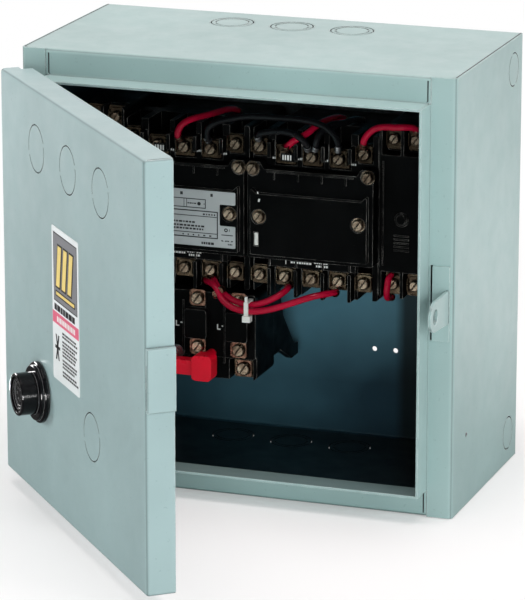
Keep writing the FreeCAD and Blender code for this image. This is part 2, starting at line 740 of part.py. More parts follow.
def aux_block(sign):
    near, far = aux_span(sign)
    low = min(near, far)
    high = max(near, far)
    centre = (near + far) / 2
    bottom, top = AUX_Z
    body = panel(low, high, AUX_Y, AUX_REAR, bottom, top, 2)
    tools = [block(low + 3, high - 3, AUX_Y + 4, AUX_REAR + 1, 152, 208)]
    tools.append(rod(3.1, centre, AUX_Y - 1, AUX_Y + 5, MID_Z))
    wall = near + sign * 1.5
    tools.append(block(wall - 2, wall + 2, 84, 98, 169.5, 186.5))
    for dx in AUX_LUG_DX:
        x = centre + dx
        tools.append(block(x - 6.2, x + 6.2, AUX_Y - 1, AUX_Y + 14, top - 17, top + 1))
        tools.append(block(x - 6.2, x + 6.2, AUX_Y - 1, AUX_Y + 14, bottom - 1, bottom + 17))
    return carve(body, tools)


def aux_plunger(sign):
    near, far = aux_span(sign)
    centre = (near + far) / 2
    edge = CONTACTOR_X[1] if sign > 0 else CONTACTOR_X[0]
    tip = edge + POLE_SHIFT + sign * 28.0
    stem = rod(3.0, centre, AUX_Y - 2, 86, MID_Z)
    yoke = block(centre - 8, centre + 8, 84, 100, MID_Z - 14, MID_Z + 14)
    tab = block(tip, centre, 86.2, 90, MID_Z - 6, MID_Z + 6)
    return join([stem, yoke, tab])


def aux_terminals():
    pieces = []
    for x, z in aux_points():
        lug = panel(x - 5.4, x + 5.4, AUX_Y + 8, AUX_Y + 14, z - 7, z + 7, 0.8)
        pieces.append(lug.cut(rod(1.9, x, AUX_Y, AUX_Y + 15, z)))
    return group(pieces)


def aux_points():
    places = []
    for sign in (-1, 1):
        near, far = aux_span(sign)
        for dx in AUX_LUG_DX:
            for z in AUX_LUG_Z:
                places.append(((near + far) / 2 + dx, z))
    return places


def aux_screws():
    screws = []
    for x, z in aux_points():
        washer = rod(4.5, x, AUX_Y + 7.2, AUX_Y + 8, z)
        screws.append(join([washer, screw(x, AUX_Y + 4, z, 3.6, 3.2, 1.8, 6.6)]))
    return group(screws)


# ---- mechanical interlock between the contactors ----

def interlock_frame():
    low, high = LOCK_Z
    rear = block(LOCK_X - 4.5, LOCK_X + 4.5, 105, PLATE_FRONT, low, high)
    cheeks = [block(LOCK_X - 4.5, LOCK_X + 4.5, 91.5, 106, z, z + 9.5) for z in (low, high - 9.5)]
    pin = upright(2.0, LOCK_X, LOCK_Y, low + 1, high - 1)
    return join([rear, pin] + cheeks)


def interlock_lever():
    low, high = MID_Z - 6.5, MID_Z + 6.5
    hub = upright(4.2, LOCK_X, LOCK_Y, low - 1, high + 1)
    stem = block(LOCK_X - 2.6, LOCK_X + 2.6, 90, LOCK_Y, low, high)
    bar = block(LOCK_X - 16.3, LOCK_X + 10.6, 89.5, 93.0, low, high)
    return join([hub, stem, bar]).cut(upright(2.06, LOCK_X, LOCK_Y, LOCK_Z[0], LOCK_Z[1]))


# ---- overload relay ----

def overload_housing():
    x0, x1 = OVERLOAD_SIDES
    z0, z1 = OVERLOAD_Z
    front = OVERLOAD_Y
    body = panel(x0, x1, front + 3, 78, z0, z1, 4)
    nose = panel(x0, x1, front, front + 4, 78, z1, 2)
    rear = panel(x0 + 3, x1 - 2.2, 77, 98, 68, z1, 3)
    parts = [body, nose, rear]
    for x in (-90, -8):
        foot = [point(x, 97, 108), point(x, 103, 92), point(x, 125, 67), point(x, PLATE_FRONT, 66),
                point(x, PLATE_FRONT, 58), point(x, 120, 58), point(x, 97, 70)]
        parts.append(prism(foot, 0, point(4, 0, 0)))
    solid = join(parts)
    tools = []
    for x in OVERLOAD_X:
        tools.append(panel(x - 8.2, x + 8.2, front - 1, 60, z0 - 5, 77, 2))
        for z in HEATER_Z:
            tools.append(rod(2.1, x, front - 1, 60, z))
    for x in ARM_POST_X:
        tools.append(rod(3.08, x, front - 1, 70, ARM_POST_Z))
    return carve(solid, tools)


def thermal_units():
    units = []
    for x in OVERLOAD_X:
        strap = panel(x - 5.2, x + 5.2, OVERLOAD_Y - 1.2, OVERLOAD_Y, 79.4, 120.6, 1.2)
        strap = carve(strap, [rod(2.1, x, 38, 45, z) for z in HEATER_Z])
        body = panel(x - 7.5, x + 7.5, OVERLOAD_Y - 7, OVERLOAD_Y - 1, 91, 110.4, 2.0)
        units.append(join([strap, body]))
    return group(units)


def overload_terminals():
    lugs = []
    for x in OVERLOAD_X:
        lug = panel(x - 6.6, x + 6.6, 51, 59.9, 63.6, 76, 1)
        lugs.append(lug.cut(rod(2.1, x, 50, 58, OVERLOAD_LUG_Z)))
    return group(lugs)


def overload_screws():
    screws = []
    for x in OVERLOAD_X:
        for z in HEATER_Z:
            screws.append(screw(x, OVERLOAD_Y - 4.6, z, 4.2, 3.4, 2.0, 14))
        screws.append(screw(x, 47.2, OVERLOAD_LUG_Z, 4.6, 3.8, 2.0, 6))
    return group(screws)


def reset_arm():
    bar = panel(-66, -24, ARM_Y, ARM_Y + 8, ARM_Z - 4.8, ARM_Z + 4.8, 1.5)
    boss = panel(-37, -23.4, ARM_Y - 2, ARM_Y + 9, ARM_Z - 7.6, ARM_Z + 9, 3)
    pad = rod(8.0, RESET_X, ARM_Y, ARM_Y + 6, RESET_Z)
    posts = [rod(3.0, x, ARM_Y + 5, 62, ARM_POST_Z) for x in ARM_POST_X]
    return join([bar, boss, pad] + posts)


def reset_arm_spring():
    return spring(ARM_POST_X[1], ARM_Y + 8.1, OVERLOAD_Y - 0.1, ARM_POST_Z, 4.2, 0.5, 4)


# ---- wiring ----

def red_wires():
    runs = [
        [(-37.2, 47.2, 127.8), (-34.2, 42.5, 127.6), (-30.0, 38.6, 127.9), (-26.4, 35.8, 126.0),
         (-22.8, 33.4, 121.6), (-17.0, 30.8, 117.2), (-10.1, 29.4, 114.9), (-2.4, 28.8, 114.4),
         (7.5, 28.8, 115.6), (18.5, 29.6, 118.9), (29.4, 31.0, 123.0), (39.9, 33.4, 126.7),
         (46.6, 37.2, 128.0), (50.4, 42.0, 128.0), (51.2, 47.2, 127.4)],
        [(-32.2, 47.2, 128.6), (-29.8, 43.0, 127.6), (-26.0, 40.0, 124.4), (-20.6, 37.0, 121.4),
         (-12.6, 34.0, 118.8), (-2.4, 32.6, 117.6), (7.3, 32.0, 120.2), (14.4, 32.6, 123.8),
         (18.8, 36.0, 126.6), (20.2, 41.5, 128.2), (18.0, 47.2, 127.8)],
        [(-54.6, 47.4, 218.8), (-55.6, 45.0, 223.6), (-53.0, 46.4, 229.0), (-48.5, 50.6, 231.8),
         (-42.5, 58.0, 233.0), (-37.0, 70.0, 233.4), (-33.0, 84.0, 232.8), (-31.0, 94.0, 228.6)],
        [(17.4, 47.4, 218.8), (20.6, 46.4, 222.6), (25.0, 47.4, 225.6), (29.6, 52.0, 228.4),
         (32.6, 58.0, 231.2), (35.4, 66.0, 233.2), (38.0, 76.0, 233.4), (40.0, 88.0, 231.8),
         (41.0, 95.0, 228.4)],
        [(68.8, 47.4, 223.4), (69.6, 46.0, 228.6), (74.0, 48.0, 234.4), (81.0, 47.2, 237.4),
         (90.0, 46.6, 238.0), (97.0, 48.6, 238.2), (100.7, 52.6, 236.8), (100.7, 55.2, 233.0)],
        [(85.2, 54.8, 139.9), (84.8, 51.6, 138.4), (84.5, 50.0, 135.0), (84.1, 49.8, 131.0),
         (83.4, 52.0, 126.6), (82.4, 58.0, 123.4), (81.6, 68.0, 122.2)],
    ]
    return group([cable(run, WIRE_R) for run in runs])


def black_wires():
    runs = [
        [(-34.6, 47.4, 218.8), (-35.6, 45.2, 223.6), (-34.4, 44.4, 228.2), (-29.5, 45.0, 232.2),
         (-21.2, 47.0, 234.8), (-8.3, 49.4, 236.9), (6.0, 50.0, 237.2), (18.4, 50.0, 237.4),
         (34.0, 50.4, 236.2), (46.0, 49.0, 231.6), (51.4, 47.6, 224.6), (51.8, 47.4, 218.8)],
        [(-1.2, 47.4, 223.0), (-0.6, 44.8, 226.4), (4.2, 43.6, 228.6), (12.5, 42.8, 230.2),
         (20.4, 42.4, 230.2), (27.6, 42.4, 227.6), (31.6, 44.4, 222.8), (31.6, 47.4, 218.8)],
        [(36.4, 47.4, 218.8), (37.2, 46.4, 223.2), (39.2, 48.2, 229.4), (43.4, 55.0, 233.6),
         (48.6, 68.0, 233.2), (52.0, 84.0, 232.4), (52.6, 94.0, 228.6)],
    ]
    return group([cable(run, WIRE_R) for run in runs])


def cable_tie():
    band = block(-3.8, -1.0, 25.4, 36.0, 111.0, 121.0).cut(block(-5, 1, 26.4, 35.0, 112.0, 120.0))
    latch = block(-4.6, 0.6, 24.4, 29.4, 108.0, 112.0)
    tail = block(-3.4, -1.6, 26.0, 27.0, 120.8, 124.6)
    return join([band, latch, tail])


def build():
    left, right = CONTACTOR_X
    nodes = {
        "enclosure_wrapper": enclosure_wrapper(),
        "left_side_panel": left_side_panel(),
        "right_side_panel": right_side_panel(),
        "padlock_hasp": padlock_hasp(),
        "hinge_frame_leaves": hinge_frame_leaves(),
        "hinge_pins": hinge_pins(),
        "mounting_plate": mounting_plate(),
        "mounting_screws": mounting_screws(),
        "door_panel": door_panel(),
        "hinge_door_leaves": hinge_door_leaves(),
        "door_label": door_label(),
        "reset_bezel": reset_bezel(),
        "reset_gasket": reset_gasket(),
        "reset_ring_nut": reset_ring_nut(),
        "reset_plunger": reset_plunger(),
        "reset_clip": reset_clip(),
        "reset_spring": reset_spring(),
        "terminal_screws": terminal_screws(),
        "cover_screws": cover_screws(),
        "rating_label": rating_label(),
        "aux_block_left": aux_block(-1),
        "aux_block_right": aux_block(1),
        "aux_plunger_left": aux_plunger(-1),
        "aux_plunger_right": aux_plunger(1),
        "aux_terminals": aux_terminals(),
        "aux_screws": aux_screws(),
        "interlock_frame": interlock_frame(),
        "interlock_lever": interlock_lever(),
        "overload_housing": overload_housing(),
        "thermal_units": thermal_units(),
        "overload_terminals": overload_terminals(),
        "overload_screws": overload_screws(),
        "reset_arm": reset_arm(),
        "reset_arm_spring": reset_arm_spring(),
        "red_wires": red_wires(),
        "black_wires": black_wires(),
        "cable_tie": cable_tie(),
    }
    per_contactor = [contactor_base, magnet_core, magnet_coil, magnet_armature, contact_block,
                     contact_terminals, contactor_cover, contact_carrier, moving_contacts,
                     contact_springs, return_springs]
    for maker in per_contactor:
        nodes[maker.__name__ + "_left"] = maker(left)
        nodes[maker.__name__ + "_right"] = maker(right)
    nodes["indicator_flag_right"] = indicator_flag(right)
    return nodes


os.makedirs("parts", exist_ok=True)
for name, shape in build().items():
    shape.translate(point(0, -BOX_D, -BOX_H / 2))
    shape.exportStep("parts/" + name + ".step")
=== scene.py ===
import json
import math
import random

import bmesh
import bpy
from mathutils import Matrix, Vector

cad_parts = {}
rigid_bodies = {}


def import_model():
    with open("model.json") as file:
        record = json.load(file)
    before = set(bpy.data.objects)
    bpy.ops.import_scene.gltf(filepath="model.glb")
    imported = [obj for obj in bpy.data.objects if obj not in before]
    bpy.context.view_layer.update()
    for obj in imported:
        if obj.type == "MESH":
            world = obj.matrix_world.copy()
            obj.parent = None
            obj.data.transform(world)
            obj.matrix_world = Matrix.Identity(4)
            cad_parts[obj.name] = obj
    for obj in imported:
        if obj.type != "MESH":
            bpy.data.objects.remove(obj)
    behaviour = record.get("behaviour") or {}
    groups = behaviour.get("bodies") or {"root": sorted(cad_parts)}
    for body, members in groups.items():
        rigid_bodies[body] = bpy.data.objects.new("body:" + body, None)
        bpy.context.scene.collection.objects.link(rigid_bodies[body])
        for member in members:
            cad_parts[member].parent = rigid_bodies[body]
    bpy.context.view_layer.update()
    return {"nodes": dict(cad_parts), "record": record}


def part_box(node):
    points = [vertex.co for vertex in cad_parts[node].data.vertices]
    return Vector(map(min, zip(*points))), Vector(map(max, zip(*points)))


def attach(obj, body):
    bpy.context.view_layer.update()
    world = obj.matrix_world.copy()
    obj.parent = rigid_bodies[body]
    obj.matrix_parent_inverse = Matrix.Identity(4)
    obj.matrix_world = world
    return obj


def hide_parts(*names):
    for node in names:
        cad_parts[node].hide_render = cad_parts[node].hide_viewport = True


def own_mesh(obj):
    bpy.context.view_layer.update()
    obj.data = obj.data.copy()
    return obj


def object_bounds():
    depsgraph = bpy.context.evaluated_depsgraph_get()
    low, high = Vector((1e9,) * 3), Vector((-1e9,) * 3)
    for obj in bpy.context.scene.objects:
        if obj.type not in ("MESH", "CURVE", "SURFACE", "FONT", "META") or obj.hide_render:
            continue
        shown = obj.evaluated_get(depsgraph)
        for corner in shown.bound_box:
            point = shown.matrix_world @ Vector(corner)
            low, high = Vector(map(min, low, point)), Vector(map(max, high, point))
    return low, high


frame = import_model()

MM = 0.001
SEED = 7

# Camera, in metres and degrees: where it stands, how far it is turned and its focal length.
CAMERA_AT = (0.8269, -2.4360, 0.6623)
CAMERA_TURN = 19.48
CAMERA_DROP = 15.49
CAMERA_LENS = 240.0

# How bright the surroundings are: as a soft light, and as the backdrop and the room seen in reflections.
WORLD_SOFT = 0.30
BACKDROP = 0.95
ROOM_DARK = 0.03

# The enamel of the box and of the door.
PAINT_TINT = (0.306, 0.432, 0.424)
DOOR_TINT = (0.300, 0.412, 0.416)

# Corners, in metres, of the space inside the box and of the collar round its opening.
INSIDE_LOW = (-0.1430, -0.1482, -0.1405)
INSIDE_HIGH = (0.1430, -0.0008, 0.1405)
LIP_LOW = (-0.1262, -0.1664, -0.1236)
LIP_HIGH = (0.1262, -0.1482, 0.1236)

# Where the painted shade of the back wall and of the left wall begins, and where the painted shadow on the
# back wall does.
BACK_WALL_Y = -0.006
LEFT_WALL_X = -0.1300
PAINTED_SHADOW_X = (0.0590, 0.0660)

# What the paint's tint is multiplied by as painted light and shade inside the box: on the back wall, shaded
# low and lit high, the left wall and the other inner sides.
BACK_WALL_SHADED = (0.045, 0.08, 0.12)
BACK_WALL_LIT = (0.26, 0.47, 0.63)
LEFT_WALL_SHADED = (0.07, 0.12, 0.16)
INSIDE_SHADE_SHARE = 0.015

# The heights, in metres, between which shaded metal under the top of the box grows darker.
METAL_SHADE_Z = (0.050, 0.072)

# In millimetres: a layer of print, a wire's radius, how deep the button's face is sunk and a clamp's seat.
PRINT = 0.05
WIRE_RADIUS = 2.1
CAP_SINK = 1.2
CLAMP_SEAT = 3.4

NODES = frame["nodes"]


def door_turn():
    """How far the door stands open, in radians."""
    for joint in frame["record"]["behaviour"]["joints"]:
        if joint["name"] == "door_hinge":
            return -math.radians(joint["range_deg"][0])


TURN = door_turn()
DOOR_ACROSS = (math.cos(TURN), -math.sin(TURN), 0)
DOOR_OUT = (-math.sin(TURN), -math.cos(TURN), 0)


# ---- node helpers ----

def times(colour, share):
    """A colour with each channel multiplied by one share, or by a share of its own."""
    shares = share if isinstance(share, tuple) else (share,) * 3
    return tuple(c * k for c, k in zip(colour, shares))


class Shader:
    """A material under construction, with short calls for the nodes it needs."""

    def __init__(self, name):
        self.material = bpy.data.materials.new(name)
        self.material.use_nodes = True
        self.tree = self.material.node_tree
        self.surface = self.tree.nodes["Principled BSDF"]
        self.place = self.tree.nodes.new("ShaderNodeTexCoord").outputs["Object"]

    def wire(self, source, socket):
        """Feeds a socket from a number, a colour or another node's output."""
        if isinstance(source, (int, float)):
            socket.default_value = source
        elif isinstance(source, tuple):
            socket.default_value = (*source, 1.0)[:4]
        else:
            self.tree.links.new(source, socket)

    def noise(self, scale, detail=3.0, rough=0.55, place=None):
        node = self.tree.nodes.new("ShaderNodeTexNoise")
        node.inputs["Scale"].default_value = scale
        node.inputs["Detail"].default_value = detail
        node.inputs["Roughness"].default_value = rough
        self.tree.links.new(place or self.place, node.inputs["Vector"])
        return node.outputs["Fac"]

    def stretched(self, x, y, z):
        """The position, scaled along each axis."""
        node = self.tree.nodes.new("ShaderNodeMapping")
        node.inputs["Scale"].default_value = (x, y, z)
        self.tree.links.new(self.place, node.inputs["Vector"])
        return node.outputs["Vector"]

    def spread(self, value, low, high, start=0.0, end=1.0):
        """Start up to low, end from high on, and even steps between them."""
        node = self.tree.nodes.new("ShaderNodeMapRange")
        self.wire(value, node.inputs["Value"])
        node.inputs["From Min"].default_value = low
        node.inputs["From Max"].default_value = high
        node.inputs["To Min"].default_value = start
        node.inputs["To Max"].default_value = end
        return node.outputs["Result"]

    def math(self, kind, a, b):
        node = self.tree.nodes.new("ShaderNodeMath")
        node.operation = kind
        self.wire(a, node.inputs[0])
        self.wire(b, node.inputs[1])
        return node.outputs["Value"]

    def mix(self, share, a, b):
        node = self.tree.nodes.new("ShaderNodeMix")
        node.data_type = "RGBA"
        self.wire(share, node.inputs[0])
        self.wire(a, node.inputs[6])
        self.wire(b, node.inputs[7])
        return node.outputs[2]

    def edges(self, radius):
        """1 on a sharp edge, falling to 0 on a flat face, and the rounded normal that finds it."""
        bevel = self.tree.nodes.new("ShaderNodeBevel")
        bevel.samples = 4
        bevel.inputs["Radius"].default_value = radius
        geometry = self.tree.nodes.new("ShaderNodeNewGeometry")
        dot = self.tree.nodes.new("ShaderNodeVectorMath")
        dot.operation = "DOT_PRODUCT"
        self.tree.links.new(bevel.outputs["Normal"], dot.inputs[0])
        self.tree.links.new(geometry.outputs["Normal"], dot.inputs[1])
        return self.spread(dot.outputs["Value"], 0.99, 0.82), bevel.outputs["Normal"]

    def bends(self, faces):
        """One where a rounded bend runs between two of the given face directions, nought on the faces."""
        normal = self.tree.nodes["Texture Coordinate"].outputs["Normal"]
        nearest = 0.0
        for direction in faces:
            dot = self.tree.nodes.new("ShaderNodeVectorMath")
            dot.operation = "DOT_PRODUCT"
            dot.inputs[1].default_value = direction
            self.tree.links.new(normal, dot.inputs[0])
            nearest = self.math("MAXIMUM", nearest, self.math("ABSOLUTE", dot.outputs["Value"], 0.0))
        return self.spread(nearest, 0.74, 0.93, 1.0, 0.0)

    def crevice(self, reach):
        """Nought in the open and rising to one in seams and slits narrower than reach."""
        node = self.tree.nodes.new("ShaderNodeAmbientOcclusion")
        node.samples = 6
        node.only_local = True
        node.inputs["Distance"].default_value = reach
        return self.spread(node.outputs["AO"], 0.35, 0.85, 1.0, 0.0)

    def along(self, axis):
        """The position along one axis, in metres."""
        split = self.tree.nodes.new("ShaderNodeSeparateXYZ")
        self.tree.links.new(self.place, split.inputs["Vector"])
        return split.outputs[axis]

    def within(self, low, high):
        """One inside the box between two corners given in metres, nought outside it."""
        mask = 1.0
        for axis, bottom, top in zip("XYZ", low, high):
            mask = self.math("MULTIPLY", mask, self.math("GREATER_THAN", self.along(axis), bottom))
            mask = self.math("MULTIPLY", mask, self.math("LESS_THAN", self.along(axis), top))
        return mask

    def bump(self, height, strength, distance, normal=None):
        node = self.tree.nodes.new("ShaderNodeBump")
        node.inputs["Strength"].default_value = strength
        node.inputs["Distance"].default_value = distance
        self.tree.links.new(height, node.inputs["Height"])
        if normal is not None:
            self.tree.links.new(normal, node.inputs["Normal"])
        return node.outputs["Normal"]

    def finish(self, colour, roughness, normal=None, metallic=0.0, coat=0.0, specular=0.5, film=0.18):
        inputs = self.surface.inputs
        self.wire(colour, inputs["Base Color"])
        self.wire(roughness, inputs["Roughness"])
        inputs["Metallic"].default_value = metallic
        inputs["Coat Weight"].default_value = coat
        inputs["Coat Roughness"].default_value = film
        inputs["Specular IOR Level"].default_value = specular
        if normal is not None:
            self.tree.links.new(normal, inputs["Normal"])
        return self.material


# ---- materials ----

def enclosure_paint(name, tint, faces, inside=False):
    """Baked semi-gloss enamel: faint orange peel, slow colour drift, rubbed edges lightened partly as a
    painted highlight, and painted shade in the seams.

    Bends between the given faces are painted darker, a painted shade. With inside set, light and shade are
    painted
    inside the box: the back wall is bluer, lit higher up and shadowed on its right, and the other inner faces
    are nearly black.
    """
    shader = Shader(name)
    edge, rounded = shader.edges(0.9 * MM)
    drift = shader.noise(9.0, 4.0)
    grain = shader.noise(1500.0, 2.0)
    colour = shader.mix(shader.spread(drift, 0.3, 0.7), times(tint, 0.92), times(tint, 1.05))
    # Painted shade: bends between the faces are darkened.
    colour = shader.mix(shader.math("MULTIPLY", shader.bends(faces), 0.75), colour, times(tint, 0.45))
    # Edges lightened partly as rubbing and partly as a painted highlight.
    wear_and_sheen = shader.math("MULTIPLY", edge, shader.spread(shader.noise(160.0), 0.35, 0.60, 0.15, 0.75))
    colour = shader.mix(wear_and_sheen, colour, (0.74, 0.82, 0.81))
    speck = shader.spread(shader.noise(420.0, 1.0), 0.70, 0.78, 0.0, 0.35)
    colour = shader.mix(speck, colour, times(tint, 0.62))
    # Painted shade: seams and slits are darkened by ambient occlusion.
    colour = shader.mix(shader.crevice(1.6 * MM), colour, times(tint, 0.10))
    if inside:
        # Painted shade inside the box: the inner faces are painted nearly black.
        dark = times(tint, INSIDE_SHADE_SHARE)
        height = shader.spread(shader.along("Z"), -0.105, -0.045)
        height = shader.math("ADD", height, shader.spread(shader.noise(14.0, 3.0), 0.3, 0.7, -0.15, 0.15))
        height = shader.math("ADD", height, shader.spread(shader.along("X"), -0.04, 0.05, 0.45, 0.0))
        # Painted light on the back wall: darker low down and to the right, lighter higher up and to the left.
        wall = shader.mix(height, times(tint, BACK_WALL_SHADED), times(tint, BACK_WALL_LIT))
        # Painted shadow on the right of the back wall.
        wall = shader.mix(shader.spread(shader.along("X"), *PAINTED_SHADOW_X, 0.0, 0.85), wall, dark)
        back = (INSIDE_LOW[0], BACK_WALL_Y, INSIDE_LOW[2])
        far_side = (LEFT_WALL_X, INSIDE_HIGH[1], INSIDE_HIGH[2])
        colour = shader.mix(shader.within(INSIDE_LOW, INSIDE_HIGH), colour, dark)
        colour = shader.mix(shader.within(back, INSIDE_HIGH), colour, wall)
        colour = shader.mix(shader.within(INSIDE_LOW, far_side), colour, times(tint, LEFT_WALL_SHADED))
        # Painted shade on the collar's lip round the opening.
        lip = shader.within(LIP_LOW, LIP_HIGH)
        colour = shader.mix(shader.math("MULTIPLY", lip, 0.6), colour, times(tint, 0.35))
    peel = shader.math("ADD", shader.noise(520.0, 2.0), shader.math("MULTIPLY", grain, 0.25))
    roughness = shader.spread(shader.noise(60.0), 0.3, 0.7, 0.30, 0.44)
    return shader.finish(colour, roughness, shader.bump(peel, 0.16, 0.12 * MM, rounded), coat=0.10)


def moulding(name, tint, shine=0.42, fleck=0.25):
    """Filled phenolic moulding: near black, fine grain, a little dust and greyer edges, partly worn and
    partly a painted highlight.
    """
    shader = Shader(name)
    edge, rounded = shader.edges(0.45 * MM)
    patch = shader.noise(35.0, 5.0)
    colour = shader.mix(shader.spread(patch, 0.35, 0.7), tint, tuple(c * 1.7 + 0.001 for c in tint))
    dust = shader.spread(shader.noise(900.0, 2.0), 0.70, 0.80, 0.0, fleck)
    colour = shader.mix(dust, colour, (0.09, 0.085, 0.07))
    # Edges lightened partly as wear and partly as a painted highlight.
    wear_and_sheen = shader.math("MULTIPLY", edge, shader.spread(shader.noise(120.0), 0.40, 0.62, 0.15, 1.0))
    colour = shader.mix(wear_and_sheen, colour, (0.45, 0.43, 0.40))
    roughness = shader.spread(shader.noise(80.0, 4.0), 0.3, 0.7, shine - 0.1, shine + 0.12)
    bumps = shader.bump(shader.noise(1100.0, 3.0), 0.25, 0.1 * MM, rounded)
    return shader.finish(colour, roughness, bumps, specular=0.08)


def polished_black(name):
    """Polished black plastic, with faint smears that break up its reflections and a painted highlight along
    its edges.
    """
    shader = Shader(name)
    edge, rounded = shader.edges(0.5 * MM)
    smear = shader.noise(70.0, 5.0)
    colour = shader.mix(shader.spread(smear, 0.3, 0.8), (0.002, 0.002, 0.0025), (0.006, 0.006, 0.007))
    # Painted highlight: sharp edges are lightened.
    colour = shader.mix(shader.math("MULTIPLY", edge, 0.75), colour, (0.45, 0.45, 0.46))
    roughness = shader.spread(smear, 0.3, 0.75, 0.06, 0.16)
    ripple = shader.noise(240.0, 2.0)
    bumps = shader.bump(ripple, 0.05, 0.1 * MM, rounded)
    return shader.finish(colour, roughness, bumps, coat=0.22, specular=0.05, film=0.04)


def metal(name, bright, dull, low, high, scratch=(40.0, 900.0, 900.0), rub_and_glint=1.35, shade=1.0):
    """Worked metal: tarnish in patches, fine drawn lines, painted shade in crevices and brighter edges,
    rubbed and with a painted highlight.

    A shade below one leaves that share of the colour on faces high up under the top of the box.
    """
    shader = Shader(name)
    edge, rounded = shader.edges(0.3 * MM)
    tarnish = shader.spread(shader.noise(170.0, 5.0), 0.35, 0.66)
    lines = shader.noise(1.0, 3.0, place=shader.stretched(*scratch))
    colour = shader.mix(tarnish, bright, dull)
    # Painted shade: crevices are darkened by ambient occlusion.
    colour = shader.mix(shader.crevice(1.2 * MM), colour, times(dull, 0.15))
    height = shader.spread(shader.along("Z"), *METAL_SHADE_Z, 0.0, 1.0 - shade)
    colour = shader.mix(height, colour, (0.0, 0.0, 0.0))
    # Edges brightened partly as rubbing and partly as a painted highlight.
    colour = shader.mix(shader.math("MULTIPLY", edge, 0.9), colour, tuple(min(1.0, c * rub_and_glint) for c in bright))
    wear_and_sheen = shader.spread(tarnish, 0, 1, low, high)
    roughness = shader.math("ADD", wear_and_sheen, shader.spread(lines, 0.3, 0.7, 0, 0.08))
    return shader.finish(colour, roughness, shader.bump(lines, 0.22, 0.05 * MM, rounded), metallic=1.0)


def glossy_plastic(name, tint, shade, low, high, grain=0.08):
    """Smooth coloured plastic, cloudy between tint and shade, with a roughness between low and high."""
    shader = Shader(name)
    edge, rounded = shader.edges(0.4 * MM)
    cloud = shader.noise(60.0, 4.0)
    colour = shader.mix(shader.spread(cloud, 0.3, 0.7), tint, shade)
    # Painted highlight: sharp edges are lighter.
    lighter = tuple(min(1.0, c * 1.3 + 0.02) for c in tint)
    colour = shader.mix(shader.math("MULTIPLY", edge, 0.4), colour, lighter)
    roughness = shader.spread(shader.noise(130.0, 3.0), 0.3, 0.7, low, high)
    return shader.finish(colour, roughness, shader.bump(shader.noise(700.0, 2.0), grain, 0.1 * MM, rounded))


def vinyl(name, tint, shade):
    """Printed sticker stock: slight yellowing and a soft pebbled sheen."""
    shader = Shader(name)
    edge, rounded = shader.edges(0.15 * MM)
    colour = shader.mix(shader.spread(shader.noise(22.0, 4.0), 0.35, 0.7), tint, shade)
    colour = shader.mix(shader.math("MULTIPLY", edge, 0.3), colour, times(shade, 0.7))
    roughness = shader.spread(shader.noise(90.0), 0.3, 0.7, 0.34, 0.48)
    return shader.finish(colour, roughness, shader.bump(shader.noise(1300.0, 2.0), 0.1, 0.05 * MM, rounded))


def ink(name, tint):
    """Screen-printed ink: a little uneven, with pinholes where the stock shows through."""
    shader = Shader(name)
    uneven = shader.noise(240.0, 4.0)
    colour = shader.mix(shader.spread(uneven, 0.3, 0.7), times(tint, 0.88), tint)
    lighter = tuple(min(1.0, c * 1.2 + 0.05) for c in tint)
    pinhole = shader.spread(shader.noise(2400.0, 1.0), 0.70, 0.78, 0.0, 0.5)
    colour = shader.mix(pinhole, colour, lighter)
    roughness = shader.spread(uneven, 0.3, 0.7, 0.42, 0.58)
    return shader.finish(colour, roughness, shader.bump(uneven, 0.1, 0.02 * MM))


def laminations(name):
    """A stack of thin steel sheets seen on edge."""
    shader = Shader(name)
    edge, rounded = shader.edges(0.2 * MM)
    sheets = shader.noise(1.0, 0.0, place=shader.stretched(8.0, 8.0, 2200.0))
    colour = shader.mix(shader.spread(sheets, 0.35, 0.65), (0.10, 0.10, 0.105), (0.32, 0.32, 0.33))
    colour = shader.mix(edge, colour, (0.45, 0.44, 0.43))
    return shader.finish(colour, shader.spread(sheets, 0.3, 0.7, 0.35, 0.6),
                         shader.bump(sheets, 0.5, 0.1 * MM, rounded), metallic=0.8)


def winding(name):
    """Varnished cloth tape wound round a coil."""
    shader = Shader(name)
    turns = shader.noise(1.0, 1.0, place=shader.stretched(20.0, 900.0, 20.0))
    weave = shader.noise(1500.0, 2.0)
    colour = shader.mix(shader.spread(turns, 0.35, 0.65), (0.10, 0.055, 0.02), (0.20, 0.12, 0.05))
    height = shader.math("ADD", turns, shader.math("MULTIPLY", weave, 0.4))
    roughness = shader.spread(weave, 0.3, 0.7, 0.35, 0.55)
    return shader.finish(colour, roughness, shader.bump(height, 0.5, 0.2 * MM))


